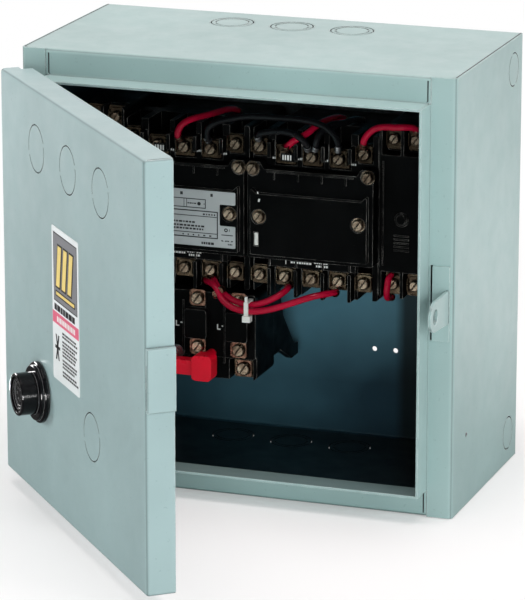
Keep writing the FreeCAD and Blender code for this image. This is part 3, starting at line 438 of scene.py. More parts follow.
BOX_FACES = ((1, 0, 0), (0, 1, 0), (0, 0, 1))
DOOR_FACES = (DOOR_ACROSS, DOOR_OUT, (0, 0, 1))
MATERIALS = {
    "enclosure_paint": enclosure_paint("enclosure_paint", PAINT_TINT, BOX_FACES, True),
    "door_paint": enclosure_paint("door_paint", DOOR_TINT, DOOR_FACES),
    "zinc_steel": metal("zinc_steel", (0.62, 0.63, 0.65), (0.40, 0.41, 0.43), 0.28, 0.45),
    "spring_steel": metal("spring_steel", (0.50, 0.50, 0.52), (0.28, 0.28, 0.30), 0.22, 0.36),
    "black_moulding": moulding("black_moulding", (0.0014, 0.0014, 0.0015)),
    "gloss_black": polished_black("gloss_black"),
    "brass": metal("brass", (0.72, 0.56, 0.42), (0.14, 0.10, 0.07), 0.16, 0.34, rub_and_glint=1.4, shade=0.45),
    # Brass darkened partly as ageing and partly as painted shade deep in the box, with edges brightened
    # strongly as a painted highlight.
    "aged_and_shaded_brass": metal("aged_and_shaded_brass", (0.22, 0.165, 0.11), (0.032, 0.024, 0.018), 0.18, 0.40,
                        rub_and_glint=4.5, shade=0.3),
    "copper": metal("copper", (0.50, 0.29, 0.21), (0.15, 0.08, 0.055), 0.18, 0.36, rub_and_glint=1.8),
    "laminated_steel": laminations("laminated_steel"),
    "coil_wrap": winding("coil_wrap"),
    "white_vinyl": vinyl("white_vinyl", (0.74, 0.78, 0.79), (0.66, 0.70, 0.70)),
    # A dimmer copy of the white vinyl, painted shade for the rating label inside the box.
    "shaded_vinyl": vinyl("shaded_vinyl", (0.47, 0.50, 0.51), (0.42, 0.45, 0.45)),
    "gasket_rubber": moulding("gasket_rubber", (0.008, 0.008, 0.008), 0.7, 0.6),
    "red_plastic": glossy_plastic("red_plastic", (0.80, 0.003, 0.026), (0.66, 0.002, 0.018), 0.26, 0.38),
    "red_insulation": glossy_plastic("red_insulation", (0.46, 0.004, 0.034), (0.33, 0.003, 0.022),
                                     0.14, 0.26),
    "black_insulation": glossy_plastic("black_insulation", (0.003, 0.003, 0.004), (0.006, 0.006, 0.007),
                                       0.16, 0.28),
    "white_nylon": glossy_plastic("white_nylon", (0.80, 0.80, 0.77), (0.70, 0.70, 0.66), 0.30, 0.45),
    "ink_black": ink("ink_black", (0.010, 0.010, 0.012)),
    "ink_grey": ink("ink_grey", (0.215, 0.220, 0.235)),
    "ink_amber": ink("ink_amber", (0.80, 0.62, 0.20)),
    "ink_pink": ink("ink_pink", (0.72, 0.13, 0.22)),
    "ink_white": ink("ink_white", (0.78, 0.78, 0.76)),
}
NODE_SLOT = {row["node"]: row["material_slot"] for row in frame["record"]["subparts"]}
SPECIAL = {"contact_terminals_left": "aged_and_shaded_brass", "contact_terminals_right": "aged_and_shaded_brass",
           "aux_terminals": "aged_and_shaded_brass", "overload_terminals": "aged_and_shaded_brass", "rating_label": "shaded_vinyl"}


def dress(piece, slot_name):
    """Gives a piece one of the materials, in place of any it has."""
    piece.data.materials.clear()
    piece.data.materials.append(MATERIALS[slot_name])


for node, piece in NODES.items():
    dress(piece, SPECIAL.get(node, NODE_SLOT[node]))


# ---- building detail pieces ----

class Panel:
    """A flat face to build on: across runs to the right, up runs up and out points away from it."""

    def __init__(self, origin, across=(1, 0, 0), out=(0, -1, 0), up=(0, 0, 1)):
        self.origin = Vector(origin)
        self.across = Vector(across)
        self.up = Vector(up)
        self.out = Vector(out)

    def at(self, u, v, w):
        """The point that is u across, v up and w out from the origin, in millimetres."""
        return self.origin + (self.across * u + self.up * v + self.out * w) * MM


def slab(mesh, panel, u0, u1, v0, v1, w0, w1, lean=0.0):
    """A block on a panel; lean slides its upper edge sideways."""
    points = []
    for w in (w0, w1):
        for u, v in ((u0, v0), (u1, v0), (u1 + lean, v1), (u0 + lean, v1)):
            points.append(mesh.verts.new(panel.at(u, v, w)))
    for face in ((3, 2, 1, 0), (4, 5, 6, 7), (0, 1, 5, 4), (1, 2, 6, 5), (2, 3, 7, 6), (3, 0, 4, 7)):
        mesh.faces.new([points[i] for i in face])


def turned(mesh, panel, u, v, profile, steps=40):
    """A turned shape about the panel's outward axis; profile lists radius and height pairs."""
    rings = []
    for radius, height in profile:
        ring = []
        for i in range(steps):
            angle = 2 * math.pi * i / steps
            spot = panel.at(u + radius * math.cos(angle), v + radius * math.sin(angle), height)
            ring.append(mesh.verts.new(spot))
        rings.append(ring)
    for inner, outer in zip(rings, rings[1:] + rings[:1]):
        for i in range(steps):
            k = (i + 1) % steps
            mesh.faces.new([inner[i], inner[k], outer[k], outer[i]])


def frame_outline(mesh, panel, u0, u1, v0, v1, line, lift):
    """A printed rectangle drawn with four bars."""
    slab(mesh, panel, u0, u1, v0, v0 + line, 0, lift)
    slab(mesh, panel, u0, u1, v1 - line, v1, 0, lift)
    slab(mesh, panel, u0, u0 + line, v0 + line, v1 - line, 0, lift)
    slab(mesh, panel, u1 - line, u1, v0 + line, v1 - line, 0, lift)


def dashes(mesh, panel, u0, u1, v, height, lift, rng, word=(1.2, 3.6), gap=0.7):
    """A row of short bars that stands for a line of print."""
    u = u0
    while u < u1 - word[0]:
        length = min(rng.uniform(*word), u1 - u)
        slab(mesh, panel, u, u + length, v, v + height, 0, lift)
        u += length + gap


def add_piece(name, mesh, material, body, bevel=0.0):
    """Makes an object of a mesh and lets it ride on a body; bevel rounds its edges, in millimetres."""
    bmesh.ops.recalc_face_normals(mesh, faces=mesh.faces)
    data = bpy.data.meshes.new(name)
    mesh.to_mesh(data)
    mesh.free()
    piece = bpy.data.objects.new(name, data)
    bpy.context.scene.collection.objects.link(piece)
    data.materials.append(MATERIALS[material])
    if bevel:
        rounding = piece.modifiers.new("rounding", "BEVEL")
        rounding.width = bevel * MM
        rounding.segments = 2
        rounding.limit_method = "ANGLE"
        rounding.use_clamp_overlap = True
    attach(piece, body)
    return piece


def islands(node):
    """The box of each separate solid in a CAD node, as pairs of corners in millimetres."""
    data = NODES[node].data
    parent = list(range(len(data.vertices)))

    def root(i):
        while parent[i] != i:
            parent[i] = parent[parent[i]]
            i = parent[i]
        return i

    spots = {}
    for i, vertex in enumerate(data.vertices):
        key = tuple(round(c * 1e5) for c in vertex.co)
        parent[i] = spots.setdefault(key, i)
    for edge in data.edges:
        a, b = (root(i) for i in edge.vertices)
        parent[a] = b
    boxes = {}
    for i, vertex in enumerate(data.vertices):
        low, high = boxes.setdefault(root(i), (Vector(vertex.co), Vector(vertex.co)))
        for axis in range(3):
            low[axis] = min(low[axis], vertex.co[axis])
            high[axis] = max(high[axis], vertex.co[axis])
    pairs = [(low / MM, high / MM) for low, high in boxes.values()]
    return sorted(pairs, key=lambda pair: tuple(round(c, 2) for c in pair[0]))


def middle(node):
    """The centre of a CAD node's box."""
    low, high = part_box(node)
    return (low + high) / 2


# ---- door details ----

def door_label_print():
    """The door label's print: a field with three slanted bars, a band and rows of bars for text."""
    low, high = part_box("door_label")
    half_v = (high.z - low.z) / 2 / MM
    half_u = (high.x - low.x) / 2 / MM / DOOR_ACROSS[0]
    panel = Panel(middle("door_label") + Vector(DOOR_OUT) * 0.17 * MM, DOOR_ACROSS, DOOR_OUT)
    rng = random.Random(SEED)

    square = bmesh.new()
    slab(square, panel, -half_u + 3.9, half_u - 3.4, half_v - 46.4, half_v - 4.2, 0, PRINT)
    add_piece("door_label_grey_field", square, "ink_grey", "door", 0.02)

    shade = bmesh.new()
    mark = bmesh.new()
    for index in range(3):
        u = -17.5 + 11.0 * index
        slab(shade, panel, u - 1.2, u + 8.2, half_v - 38.2, half_v - 9.8, PRINT, 2 * PRINT, 4.6)
        slab(mark, panel, u, u + 6.6, half_v - 37.0, half_v - 11.0, PRINT, 3 * PRINT, 4.2)
    slab(shade, panel, -18.6, 18.6, half_v - 43.4, half_v - 39.8, PRINT, 2 * PRINT)
    slab(mark, panel, -17.4, 17.4, half_v - 42.6, half_v - 40.6, PRINT, 3 * PRINT)
    add_piece("door_label_bar_shades", shade, "ink_black", "door")
    add_piece("door_label_amber_bars", mark, "ink_amber", "door", 0.02)

    band = bmesh.new()
    slab(band, panel, -half_u + 0.6, half_u - 0.6, half_v - 61.4, half_v - 53.9, 0, PRINT)
    add_piece("door_label_band", band, "ink_pink", "door", 0.02)
    pale = bmesh.new()
    dashes(pale, panel, -half_u + 9.0, half_u - 6.0, half_v - 59.6, 3.4, 2 * PRINT, rng, (1.6, 3.2), 0.9)
    add_piece("door_label_band_bars", pale, "ink_white", "door")

    text = bmesh.new()
    frame_outline(text, panel, -half_u + 3.3, half_u - 2.8, half_v - 47.0, half_v - 3.6, 0.7, PRINT)
    dashes(text, panel, -half_u + 4.2, half_u - 4.0, half_v - 52.8, 4.0, PRINT, rng, (3.4, 6.2), 0.8)
    row = half_v - 65.4
    for count in (2, 5, 3, 2):
        for _ in range(count):
            dashes(text, panel, -6.8, half_u - rng.uniform(2.0, 8.0), row, 1.3, PRINT, rng, (1.6, 4.2), 0.6)
            row -= 2.15
        row -= 1.0
    for lean in (-5.2, 5.2):
        left = -half_u + 8.2 - lean / 2
        slab(text, panel, left, left + 2.2, -half_v + 13.0, -half_v + 29.0, 0, PRINT, lean)
    slab(text, panel, -half_u + 4.6, -half_u + 14.0, -half_v + 20.0, -half_v + 22.0, 0, PRINT)
    add_piece("door_label_text_bars", text, "ink_black", "door")


def knockout_rims(spots, panel, name, slot, body):
    """The raised lip that shearing leaves beside a knockout's ring."""
    rims = bmesh.new()
    for u, v, radius in spots:
        turned(rims, panel, u, v, [(radius + 0.05, -0.05), (radius + 0.15, 0.16), (radius + 0.55, 0.16),
                                   (radius + 0.9, -0.05)], 72)
    add_piece(name, rims, slot, body)


def button_details():
    """The rings on the cap of the reset button."""
    cap = bmesh.new()
    panel = Panel(cap_centre(), DOOR_ACROSS, DOOR_OUT)
    turned(cap, panel, 0, 0, [(6.9, -0.1), (7.1, 0.35), (7.5, 0.5), (7.9, 0.35), (8.1, -0.1)], 64)
    for index in range(6):
        angle = math.pi * index / 3
        turned(cap, panel, 4.0 * math.cos(angle), 4.0 * math.sin(angle),
               [(0.1, -0.1), (0.9, -0.1), (0.8, 0.22), (0.1, 0.3)], 16)
    add_piece("reset_cap_rings", cap, "gloss_black", "reset_button")


def cap_centre():
    """The centre of the face that is sunk into the front of the button's cap."""
    out = Vector(DOOR_OUT)
    axis = middle("reset_bezel")
    front = max((vertex.co - axis).dot(out) for vertex in NODES["reset_plunger"].data.vertices)
    return axis + out * (front - CAP_SINK * MM)


# ---- contactor and relay details ----

def rating_label_print():
    """The rating label's print: outlines, rows of bars for text and a few small marks."""
    low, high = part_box("rating_label")
    panel = Panel((high.x, low.y + 0.01 * MM, low.z))
    rng = random.Random(SEED + 1)
    width = (high.x - low.x) / MM
    top = (high.z - low.z) / MM
    text = bmesh.new()
    frame_outline(text, panel, -width + 4.0, -20.0, top - 12.0, top - 5.8, 0.55, PRINT)
    frame_outline(text, panel, -width + 2.0, -11.8, 5.4, top - 13.4, 0.7, PRINT)
    slab(text, panel, -width + 2.0, -12.6, top - 17.4, top - 16.9, 0, PRINT)
    slab(text, panel, -width + 2.0, -12.6, 8.4, 8.9, 0, PRINT)
    slab(text, panel, -37.4, -35.6, top - 3.8, top - 1.8, 0, PRINT)
    slab(text, panel, -16.8, -15.2, top - 3.8, top - 1.8, 0, PRINT)
    for u in (-35.0, -33.2):
        slab(text, panel, u, u + 0.35, top - 11.4, top - 6.4, 0, PRINT)
    turned(text, panel, -24.6, top - 9.0, [(0.05, 0.0), (1.2, 0.0), (1.2, PRINT), (0.05, PRINT)], 24)
    dashes(text, panel, -32.4, -26.4, top - 9.4, 0.8, PRINT, rng, (0.7, 1.6), 0.4)
    dashes(text, panel, -25.6, -20.8, top - 9.4, 0.8, PRINT, rng, (0.4, 0.8), 3.8)
    dashes(text, panel, -22.0, -13.6, top - 16.2, 1.0, PRINT, rng, (0.6, 1.4), 0.8)
    for row, end in ((14.8, -27.0), (12.4, -21.0), (10.4, -21.0)):
        dashes(text, panel, -width + 3.4, end, row, 1.15, PRINT, rng, (0.9, 2.4), 0.6)
    dashes(text, panel, -36.0, -13.4, 6.6, 0.9, PRINT, rng, (0.6, 1.6), 2.6)
    dashes(text, panel, -23.0, -14.0, 1.3, 1.6, PRINT, rng, (0.8, 2.0), 0.4)
    turned(text, panel, -6.3, 11.8, [(0.55, 0.0), (1.25, 0.0), (1.25, PRINT), (0.55, PRINT)], 24)
    slab(text, panel, -4.2, -3.8, 11.0, 12.6, 0, PRINT)
    slab(text, panel, -9.4, -1.6, 8.2, 8.8, 0, PRINT)
    for index in range(4):
        u = -9.2 + 2.0 * index
        slab(text, panel, u, u + 1.3, 4.2, 5.0, 0, PRINT, 0.5 if index % 2 else -0.5)
    dashes(text, panel, -5.0, -2.0, 2.0, 1.0, PRINT, rng, (0.6, 1.0), 0.4)
    add_piece("rating_label_print", text, "ink_black", "enclosure")


def marking_lips():
    """A moulded lip under each cover, with printed marks on it."""
    rng = random.Random(SEED + 2)
    for side in ("left", "right"):
        low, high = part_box("contactor_cover_" + side)
        centre = (low.x + high.x) / 2
        lip = bmesh.new()
        panel = Panel((centre, low.y + 7.6 * MM, low.z))
        slab(lip, panel, -29.5, 29.5, -5.6, 1.2, -4.6, 0)
        for index in range(-1, 3):
            slab(lip, panel, 18 * index - 11.1, 18 * index - 9.9, -5.8, 1.2, -3, 0.8)
        add_piece("marking_lip_" + side, lip, "black_moulding", "enclosure", 0.3)
        text = bmesh.new()
        dashes(text, panel, -14.0, 0.5, -2.6, 1.2, PRINT, rng, (0.8, 1.8), 0.45)
        dashes(text, panel, 1.8, 12.0, -1.6, 1.3, PRINT, rng, (0.8, 1.6), 0.5)
        dashes(text, panel, 3.0, 11.0, -3.8, 1.3, PRINT, rng, (0.8, 1.6), 0.5)
        slab(text, panel, -17.6, -17.1, -3.6, 0.8, 0, PRINT)
        slab(text, panel, -16.6, -15.4, 0.0, 0.8, 0, PRINT)
        add_piece("marking_print_" + side, text, "ink_white", "enclosure")


def clamp_plates(node, name, material, ear, half_u, half_v, hole):
    """A stamped clamp under each screw head: a square plate with a round hole and two turned-up ears."""
    mesh = bmesh.new()
    for low, high in islands(node):
        u = (low.x + high.x) / 2
        v = (low.z + high.z) / 2
        panel = Panel((u * MM, (low.y + CLAMP_SEAT) * MM, v * MM))
        steps = 24
        rim = []
        square = []
        for i in range(steps):
            angle = 2 * math.pi * (i + 0.5) / steps
            cosine, sine = math.cos(angle), math.sin(angle)
            reach = min(half_u / max(abs(cosine), 1e-6), half_v / max(abs(sine), 1e-6))
            rim.append((hole * cosine, hole * sine))
            square.append((reach * cosine, reach * sine))
        rows = []
        for outline, height in ((rim, -0.4), (rim, 0.35), (square, 0.35), (square, -0.4)):
            rows.append([mesh.verts.new(panel.at(a, b, height)) for a, b in outline])
        for first, second in zip(rows, rows[1:] + rows[:1]):
            for i in range(steps):
                k = (i + 1) % steps
                mesh.faces.new([first[i], first[k], second[k], second[i]])
        for sign in (-1, 1):
            a, b = sorted((sign * half_u, sign * (half_u - 0.7)))
            slab(mesh, panel, a, b, -half_v * 0.75, half_v * 0.75, 0, ear)
    add_piece(name, mesh, material, "enclosure", 0.12)


def wire_ferrule(mesh, end, heading, radius):
    """A crimped sleeve with two rolled bands at the end of a wire."""
    along = Vector(heading).normalized()
    side = along.cross(Vector((0, 1, 0.3))).normalized()
    other = along.cross(side)
    profile = [(radius * 0.7, 0.0), (radius * 1.02, 0.0), (radius * 1.10, 0.5), (radius * 1.16, 1.2),
               (radius * 1.04, 1.7), (radius * 1.04, 2.4), (radius * 1.16, 2.9), (radius * 1.12, 3.8),
               (radius * 0.98, 4.2)]
    rings = []
    for ring_radius, distance in profile:
        centre = Vector(end) + along * distance
        ring = []
        for i in range(20):
            angle = 2 * math.pi * i / 20
            offset = side * math.cos(angle) + other * math.sin(angle)
            ring.append(mesh.verts.new((centre + offset * ring_radius) * MM))
        rings.append(ring)
    for first, second in zip(rings, rings[1:]):
        for i in range(20):
            k = (i + 1) % 20
            mesh.faces.new([first[i], first[k], second[k], second[i]])
    mesh.faces.new(rings[0][::-1])


def wire_ends(node):
    """Both ends of every wire: the centre of each flat end, in millimetres, and the way into the wire.

    Dictionaries stand in for sets here, because they keep their order and so give the same mesh each run.
    """
    data = NODES[node].data
    mesh = bmesh.new()
    mesh.from_mesh(data)
    bmesh.ops.remove_doubles(mesh, verts=mesh.verts, dist=1e-6)
    sharp = [e for e in mesh.edges if len(e.link_faces) == 2 and e.calc_face_angle() > 1.2]
    groups = []
    unused = dict.fromkeys(sharp)
    while unused:
        stack = [unused.popitem()[0]]
        ring = {}
        while stack:
            edge = stack.pop()
            for vert in edge.verts:
                ring[vert] = None
                for other in vert.link_edges:
                    if other in unused:
                        del unused[other]
                        stack.append(other)
        groups.append(ring)
    ends = []
    for ring in groups:
        centre = sum((v.co for v in ring), Vector()) / len(ring)
        points = list(ring)
        normal = (points[0].co - centre).cross(points[len(points) // 3].co - centre).normalized()
        faces = dict.fromkeys(f for v in ring for f in v.link_faces if abs(f.normal.dot(normal)) < 0.7)
        inward = sum((f.calc_center_median() - centre for f in faces), Vector())
        ends.append((centre / MM, inward.normalized()))
    mesh.free()
    return ends


def add_ferrules():
    """A ferrule on both ends of every wire."""
    for node, material in (("red_wires", "copper"), ("black_wires", "zinc_steel")):
        mesh = bmesh.new()
        for centre, inward in wire_ends(node):
            wire_ferrule(mesh, centre, inward, WIRE_RADIUS)
        add_piece(node.replace("_wires", "_wire") + "_ferrules", mesh, material, "enclosure")


def cover_details():
    """Raised ribs on the two contactor covers, and two small printed spots on the right one."""
    for side in ("left", "right"):
        low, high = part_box("contactor_cover_" + side)
        centre = (low.x + high.x) / 2
        panel = Panel((centre, low.y, (low.z + high.z) / 2))
        ribs = bmesh.new()
        for u in (-24, -8, 8, 24):
            slab(ribs, panel, u - 0.6, u + 0.6, 20.6, 25.6, -4.2, -3.4)
        slab(ribs, panel, -29, 29, 25.2, 26.2, -4.2, -3.5)
        add_piece("cover_ribs_" + side, ribs, "black_moulding", "enclosure", 0.2)
    spots = bmesh.new()
    slab(spots, panel, -33.6, -32.4, 6.4, 8.4, 0, PRINT, 0.4)
    slab(spots, panel, -33.9, -33.0, 11.6, 13.0, 0, PRINT, -0.4)
    add_piece("cover_spots_right", spots, "ink_white", "enclosure")


def aux_details():
    """Guide ribs, a finger grip and a raised ring on the front of each auxiliary contact block."""
    for side in ("left", "right"):
        low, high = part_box("aux_block_" + side)
        panel = Panel(((low.x + high.x) / 2, low.y, (low.z + high.z) / 2))
        half = (high.x - low.x) / 2 / MM
        ribs = bmesh.new()
        for u in (-half + 2.2, half - 3.2):
            slab(ribs, panel, u, u + 1.0, -34, 34, -0.3, 0.9)
        for index in range(5):
            slab(ribs, panel, -5, 5, -24 + 2.4 * index, -22.9 + 2.4 * index, -0.3, 0.7)
        turned(ribs, panel, 0, -3.3, [(3.4, -0.2), (3.5, 0.7), (4.6, 0.7), (4.9, -0.2)], 40)
        add_piece("aux_ribs_" + side, ribs, "black_moulding", "enclosure", 0.15)


def overload_details():
    """Ribs and two printed terminal marks on the overload relay's front."""
    low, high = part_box("overload_housing")
    panel = Panel(((low.x + high.x) / 2, low.y, low.z))
    ribs = bmesh.new()
    for u in (-31.6, -3.4, 24.6):
        slab(ribs, panel, u - 0.7, u + 0.7, 16.5, 56.5, -0.4, 1.1)
    add_piece("overload_ribs", ribs, "black_moulding", "enclosure", 0.25)
    marks = bmesh.new()
    for u in (-9.0, 19.4):
        slab(marks, panel, u, u + 0.7, 38.4, 42.0, 0, PRINT)
        slab(marks, panel, u + 0.7, u + 2.4, 38.4, 39.1, 0, PRINT)
        slab(marks, panel, u + 3.2, u + 5.0, 40.6, 41.4, 0, PRINT)
    add_piece("overload_marks", marks, "ink_white", "enclosure")


def side_dimple():
    """The small weld dimple low on the right side of the box."""
    low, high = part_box("right_side_panel")
    panel = Panel((high.x, low.y + 47.8 * MM, low.z + 47 * MM), (0, 1, 0), (1, 0, 0))
    dimple = bmesh.new()
    turned(dimple, panel, 0, 0, [(0.3, -0.2), (0.3, 0.15), (0.9, 0.35), (1.5, 0.15), (1.6, -0.2)], 24)
    add_piece("side_weld_dimple", dimple, "spring_steel", "enclosure")


def seam_lines():
    """The dark gaps between the wrapper and the side panels, on the front flange and along the top."""
    wrapper_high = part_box("enclosure_wrapper")[1]
    low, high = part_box("right_side_panel")
    flange = 16.9
    front = low.y + 17.8 * MM
    mesh = bmesh.new()
    for sign in (-1, 1):
        inner = (wrapper_high.x / MM - 17.3) * sign
        step = inner - sign * 2.6
        panel = Panel((0, front, 0))
        for v0, v1 in ((high.z / MM - flange + 1.5, high.z / MM - 2.4),
                       (low.z / MM + 2.4, low.z / MM + flange - 1.5)):
            a, b = sorted((inner + sign * 0.05, inner + sign * 0.85))
            slab(mesh, panel, a, b, v0, v1, -0.2, PRINT)
        for v, lean in ((high.z / MM - flange - 0.6, 1), (low.z / MM + flange - 1.5, -1)):
            a, b = sorted((step, step + sign * 0.8))
            slab(mesh, panel, a, b, v, v + 2.1, -0.2, PRINT, sign * lean * 2.6)
        top = Panel((0, 0, high.z), out=(0, 0, 1), up=(0, 1, 0))
        edge = wrapper_high.x / MM * sign
        a, b = sorted((edge, edge + sign * 0.8))
        slab(mesh, top, a, b, front / MM + 2.4, -2.4, -0.3, PRINT)
    add_piece("box_seam_lines", mesh, "ink_black", "enclosure")


def pole_marks():
    """Small pale marks beside the upper terminals, and a moulded tab that carries larger ones."""
    rng = random.Random(SEED + 3)
    mesh = bmesh.new()
    tabs = bmesh.new()
    for side in ("left", "right"):
        low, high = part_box("contact_block_" + side)
        centre = (low.x + high.x) / 2
        panel = Panel((centre, low.y + 8.4 * MM, high.z))
        for u in (-27.5, -10.5, 7.5, 25.5):
            v = -19.6 + rng.uniform(-0.6, 0.6)
            dashes(mesh, panel, u - 1.4, u + 1.6, v, 1.3, PRINT, rng, (0.5, 1.0), 0.5)
        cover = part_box("contactor_cover_" + side)[1]
        tab = Panel((centre - 16.5 * MM, low.y + 2.0 * MM, cover.z + 0.4 * MM))
        slab(tabs, tab, -5.0, 5.0, 0, 5.4, -5.0, 0)
        dashes(mesh, tab, -3.6, 3.8, 1.0, 3.4, PRINT, rng, (0.7, 1.3), 0.7)
    add_piece("pole_mark_tabs", tabs, "black_moulding", "enclosure", 0.3)
    add_piece("pole_marks", mesh, "ink_white", "enclosure")


def coil_springs(node, body, press, turns, wire):
    """Coils in place of a CAD node's springs, wound along press and riding on the given body."""
    press = Vector(press)
    side = press.cross(Vector((0, 0, 1))).normalized()
    reach = [vertex.co.dot(press) / MM for vertex in NODES[node].data.vertices]
    start, end = min(reach), max(reach)
    length = end - start
    steps = 28
    around = 10
    mesh = bmesh.new()
    for low, high in islands(node):
        centre = (low + high) / 2
        centre += press * ((start + end) / 2 - centre.dot(press))
        radius = (high.z - low.z) / 2 - wire
        rings = []
        for i in range(turns * steps + 1):
            share = i / (turns * steps)
            angle = 2 * math.pi * i / steps
            outward = side * math.cos(angle) + Vector((0, 0, 1)) * math.sin(angle)
            spot = centre + outward * radius + press * (share - 0.5) * (length - 2 * wire)
            ring = []
            for k in range(around):
                turn = 2 * math.pi * k / around
                offset = (outward * math.cos(turn) + press * math.sin(turn)) * wire
                ring.append(mesh.verts.new((spot + offset) * MM))
            rings.append(ring)
        for first, second in zip(rings, rings[1:]):
            for k in range(around):
                n = (k + 1) % around
                mesh.faces.new([first[k], first[n], second[n], second[k]])
        mesh.faces.new(rings[0][::-1])
        mesh.faces.new(rings[-1])
    piece = add_piece(node + "_coil", mesh, "spring_steel", body)
    for face in piece.data.polygons:
        face.use_smooth = True
    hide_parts(node)
    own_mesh(piece)


def box_knockout_rims():
    """The lips round the rings of the three knockouts in the top of the box."""
    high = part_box("enclosure_wrapper")[1]
    top = Panel((-3.2 * MM, -32 * MM, high.z), out=(0, 0, 1), up=(0, 1, 0))
    spots = [(41 * index, 0, radius) for index in (-1, 0, 1) for radius in (11.1, 14.1)]
    knockout_rims(spots, top, "top_knockout_rims", "enclosure_paint", "enclosure")


door_label_print()
button_details()
rating_label_print()
marking_lips()
clamp_plates("terminal_screws", "terminal_clamps", "aged_and_shaded_brass", 2.6, 5.6, 5.4, 4.0)
clamp_plates("aux_screws", "aux_clamps", "aged_and_shaded_brass", 2.0, 5.2, 5.6, 3.7)
clamp_plates("overload_screws", "overload_clamps", "copper", 1.2, 5.4, 5.4, 4.3)
add_ferrules()
cover_details()
aux_details()
overload_details()
side_dimple()
seam_lines()
pole_marks()
box_knockout_rims()
coil_springs("reset_spring", "door", [-c for c in DOOR_OUT], 6, 0.6)
coil_springs("reset_arm_spring", "enclosure", (0, 1, 0), 4, 0.5)
for contactor in ("left", "right"):
    coil_springs("return_springs_" + contactor, "enclosure",
                 (0, 1, 0), 6, 0.45)


# ---- stage, light and camera ----

def add_floor():
    """A pale floor that fades into the white surroundings further away, and glows a little in reflections."""
    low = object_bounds()[0]
    mesh = bpy.data.meshes.new("floor")
    size = 6.0
    z = low[2] - 0.5 * MM
    corners = [(-size, -size, z), (size, -size, z), (size, size, z), (-size, size, z)]
    mesh.from_pydata(corners, [], [(0, 1, 2, 3)])
    floor = bpy.data.objects.new("floor", mesh)
    bpy.context.scene.collection.objects.link(floor)
    shader = Shader("floor_paint")
    colour = shader.mix(shader.noise(3.0), (0.93, 0.93, 0.93), (0.90, 0.90, 0.90))
    material = shader.finish(colour, 0.7)
    distance = shader.tree.nodes.new("ShaderNodeVectorMath")
    distance.operation = "LENGTH"
    shader.tree.links.new(shader.place, distance.inputs[0])
    fade = shader.spread(distance.outputs["Value"], 0.22, 0.65, 0.3, 1.0)
    path = shader.tree.nodes.new("ShaderNodeLightPath")
    seen = shader.math("MULTIPLY", fade, path.outputs["Is Camera Ray"])
    front = shader.spread(shader.along("Y"), 0.0, 0.35, 0.88, 0.0)
    mirrored = shader.math("MULTIPLY", path.outputs["Is Glossy Ray"], front)
    surface = shader.surface.outputs["BSDF"]
    for share, strength in ((seen, 1.0), (mirrored, 0.04)):
        glow = shader.tree.nodes.new("ShaderNodeEmission")
        glow.inputs["Strength"].default_value = strength
        blend = shader.tree.nodes.new("ShaderNodeMixShader")
        shader.tree.links.new(share, blend.inputs[0])
        shader.tree.links.new(surface, blend.inputs[1])
        shader.tree.links.new(glow.outputs["Emission"], blend.inputs[2])
        surface = blend.outputs["Shader"]
    shader.tree.links.new(surface, shader.tree.nodes["Material Output"].inputs["Surface"])
    mesh.materials.append(material)


def add_area(name, at, towards, size, power, colour=(1, 1, 1), mirrored=True, only=None):
    """A soft light; mirrored says whether it shows up in shiny surfaces.

    With only set, it is nothing but a reflection, and only in the pieces whose names are listed.
    """
    data = bpy.data.lights.new(name, "AREA")
    data.shape = "RECTANGLE"
    data.size, data.size_y = size
    data.energy = power
    data.color = colour
    lamp = bpy.data.objects.new(name, data)
    bpy.context.scene.collection.objects.link(lamp)
    lamp.visible_glossy = mirrored
    lamp.visible_camera = False
    if only:
        lamp.visible_diffuse = False
        receivers = bpy.data.collections.new(name + "_receivers")
        for piece_name in only:
            receivers.objects.link(bpy.data.objects[piece_name])
        lamp.light_linking.receiver_collection = receivers
        lamp.light_linking.blocker_collection = receivers
    lamp.location = at
    lamp.rotation_euler = (Vector(towards) - Vector(at)).to_track_quat("-Z", "Y").to_euler()


def add_glints():
    """Small bright reflections that pick out the polished button and the screw heads."""
    button = ["reset_plunger", "reset_bezel", "reset_cap_rings"]
    metals = [piece.name for piece in bpy.data.objects if "screws" in piece.name or "clamps" in piece.name
              or "ferrules" in piece.name or "terminals" in piece.name]
    across, out, up = Vector(DOOR_ACROSS), Vector(DOOR_OUT), Vector((0, 0, 1))
    spot = cap_centre() + (across * 13.5 - out * 8.0) * MM
    view = (spot - Vector(CAMERA_AT)).normalized()
    for name, tilt, size, power in (
            ("side", across + up * 0.15, (0.16, 0.02), 8.0),
            ("flange", across + out * 0.6 + up * 0.12, (0.08, 0.10), 5.0),
            ("left_rim", out - across * 0.8, (0.10, 0.10), 6.0),
            ("low_rim", out - up * 0.8, (0.10, 0.10), 6.0),
            ("top_rim", out + up * 0.9, (0.10, 0.06), 1.6)):
        at = spot + view.reflect(tilt.normalized()) * 0.3
        add_area("glint_" + name, at, spot, size, power, only=button)
    add_area("glint_metal", (-0.50, -1.45, -0.30), (0, -0.1, 0.03), (0.35, 0.35), 4, (1.0, 0.95, 0.9),
             only=metals)


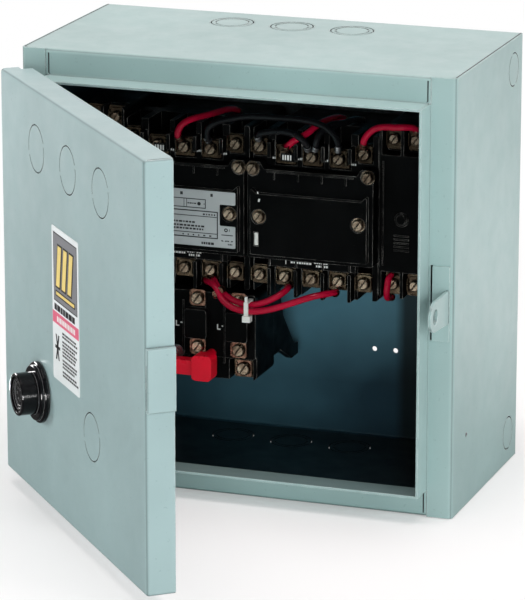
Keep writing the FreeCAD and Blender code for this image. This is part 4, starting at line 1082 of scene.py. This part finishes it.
def add_world():
    """White to the camera and a soft grey light source; reflections see a white backdrop and a dark room."""
    world = bpy.data.worlds.new("studio")
    bpy.context.scene.world = world
    world.use_nodes = True
    tree = world.node_tree
    background = tree.nodes["Background"]
    path = tree.nodes.new("ShaderNodeLightPath")
    split = tree.nodes.new("ShaderNodeSeparateXYZ")
    tree.links.new(tree.nodes.new("ShaderNodeTexCoord").outputs["Generated"], split.inputs["Vector"])
    backdrop = tree.nodes.new("ShaderNodeMapRange")
    for name, value in zip(("From Min", "From Max", "To Min", "To Max"), (0.15, 0.55, ROOM_DARK, BACKDROP)):
        backdrop.inputs[name].default_value = value
    tree.links.new(split.outputs["Y"], backdrop.inputs["Value"])
    level = WORLD_SOFT
    for kind, strength in (("Is Glossy Ray", backdrop.outputs["Result"]), ("Is Camera Ray", 1.0)):
        choice = tree.nodes.new("ShaderNodeMix")
        for socket, value in ((choice.inputs["A"], level), (choice.inputs["B"], strength)):
            if isinstance(value, float):
                socket.default_value = value
            else:
                tree.links.new(value, socket)
        tree.links.new(path.outputs[kind], choice.inputs["Factor"])
        level = choice.outputs["Result"]
    tree.links.new(level, background.inputs["Strength"])
    background.inputs["Color"].default_value = (1, 1, 1, 1)


def add_camera():
    """The camera, at the angle the object is shown from."""
    data = bpy.data.cameras.new("camera")
    data.lens = CAMERA_LENS
    camera = bpy.data.objects.new("camera", data)
    bpy.context.scene.collection.objects.link(camera)
    camera.location = CAMERA_AT
    camera.rotation_euler = (math.radians(90 - CAMERA_DROP), 0, math.radians(CAMERA_TURN))
    bpy.context.scene.camera = camera


add_floor()
add_world()
add_area("key", (-2.2, -0.45, 0.5), (0, -0.2, 0), (0.4, 0.4), 24, mirrored=False)
add_area("front", (0.7, -2.3, 0.1), (0, -0.1, -0.05), (0.9, 0.7), 26, (0.92, 1.0, 1.0), mirrored=False)
add_area("top", (0.1, -0.2, 1.7), (0, -0.05, 0), (1.4, 1.2), 27, (1.0, 0.92, 0.91))
add_area("fill", (2.3, -0.7, 0.7), (0.1, 0, 0), (1.2, 1.2), 25, (1.0, 0.97, 0.98), mirrored=False)
add_glints()
add_camera()
bpy.context.scene.view_settings.view_transform = "Standard"
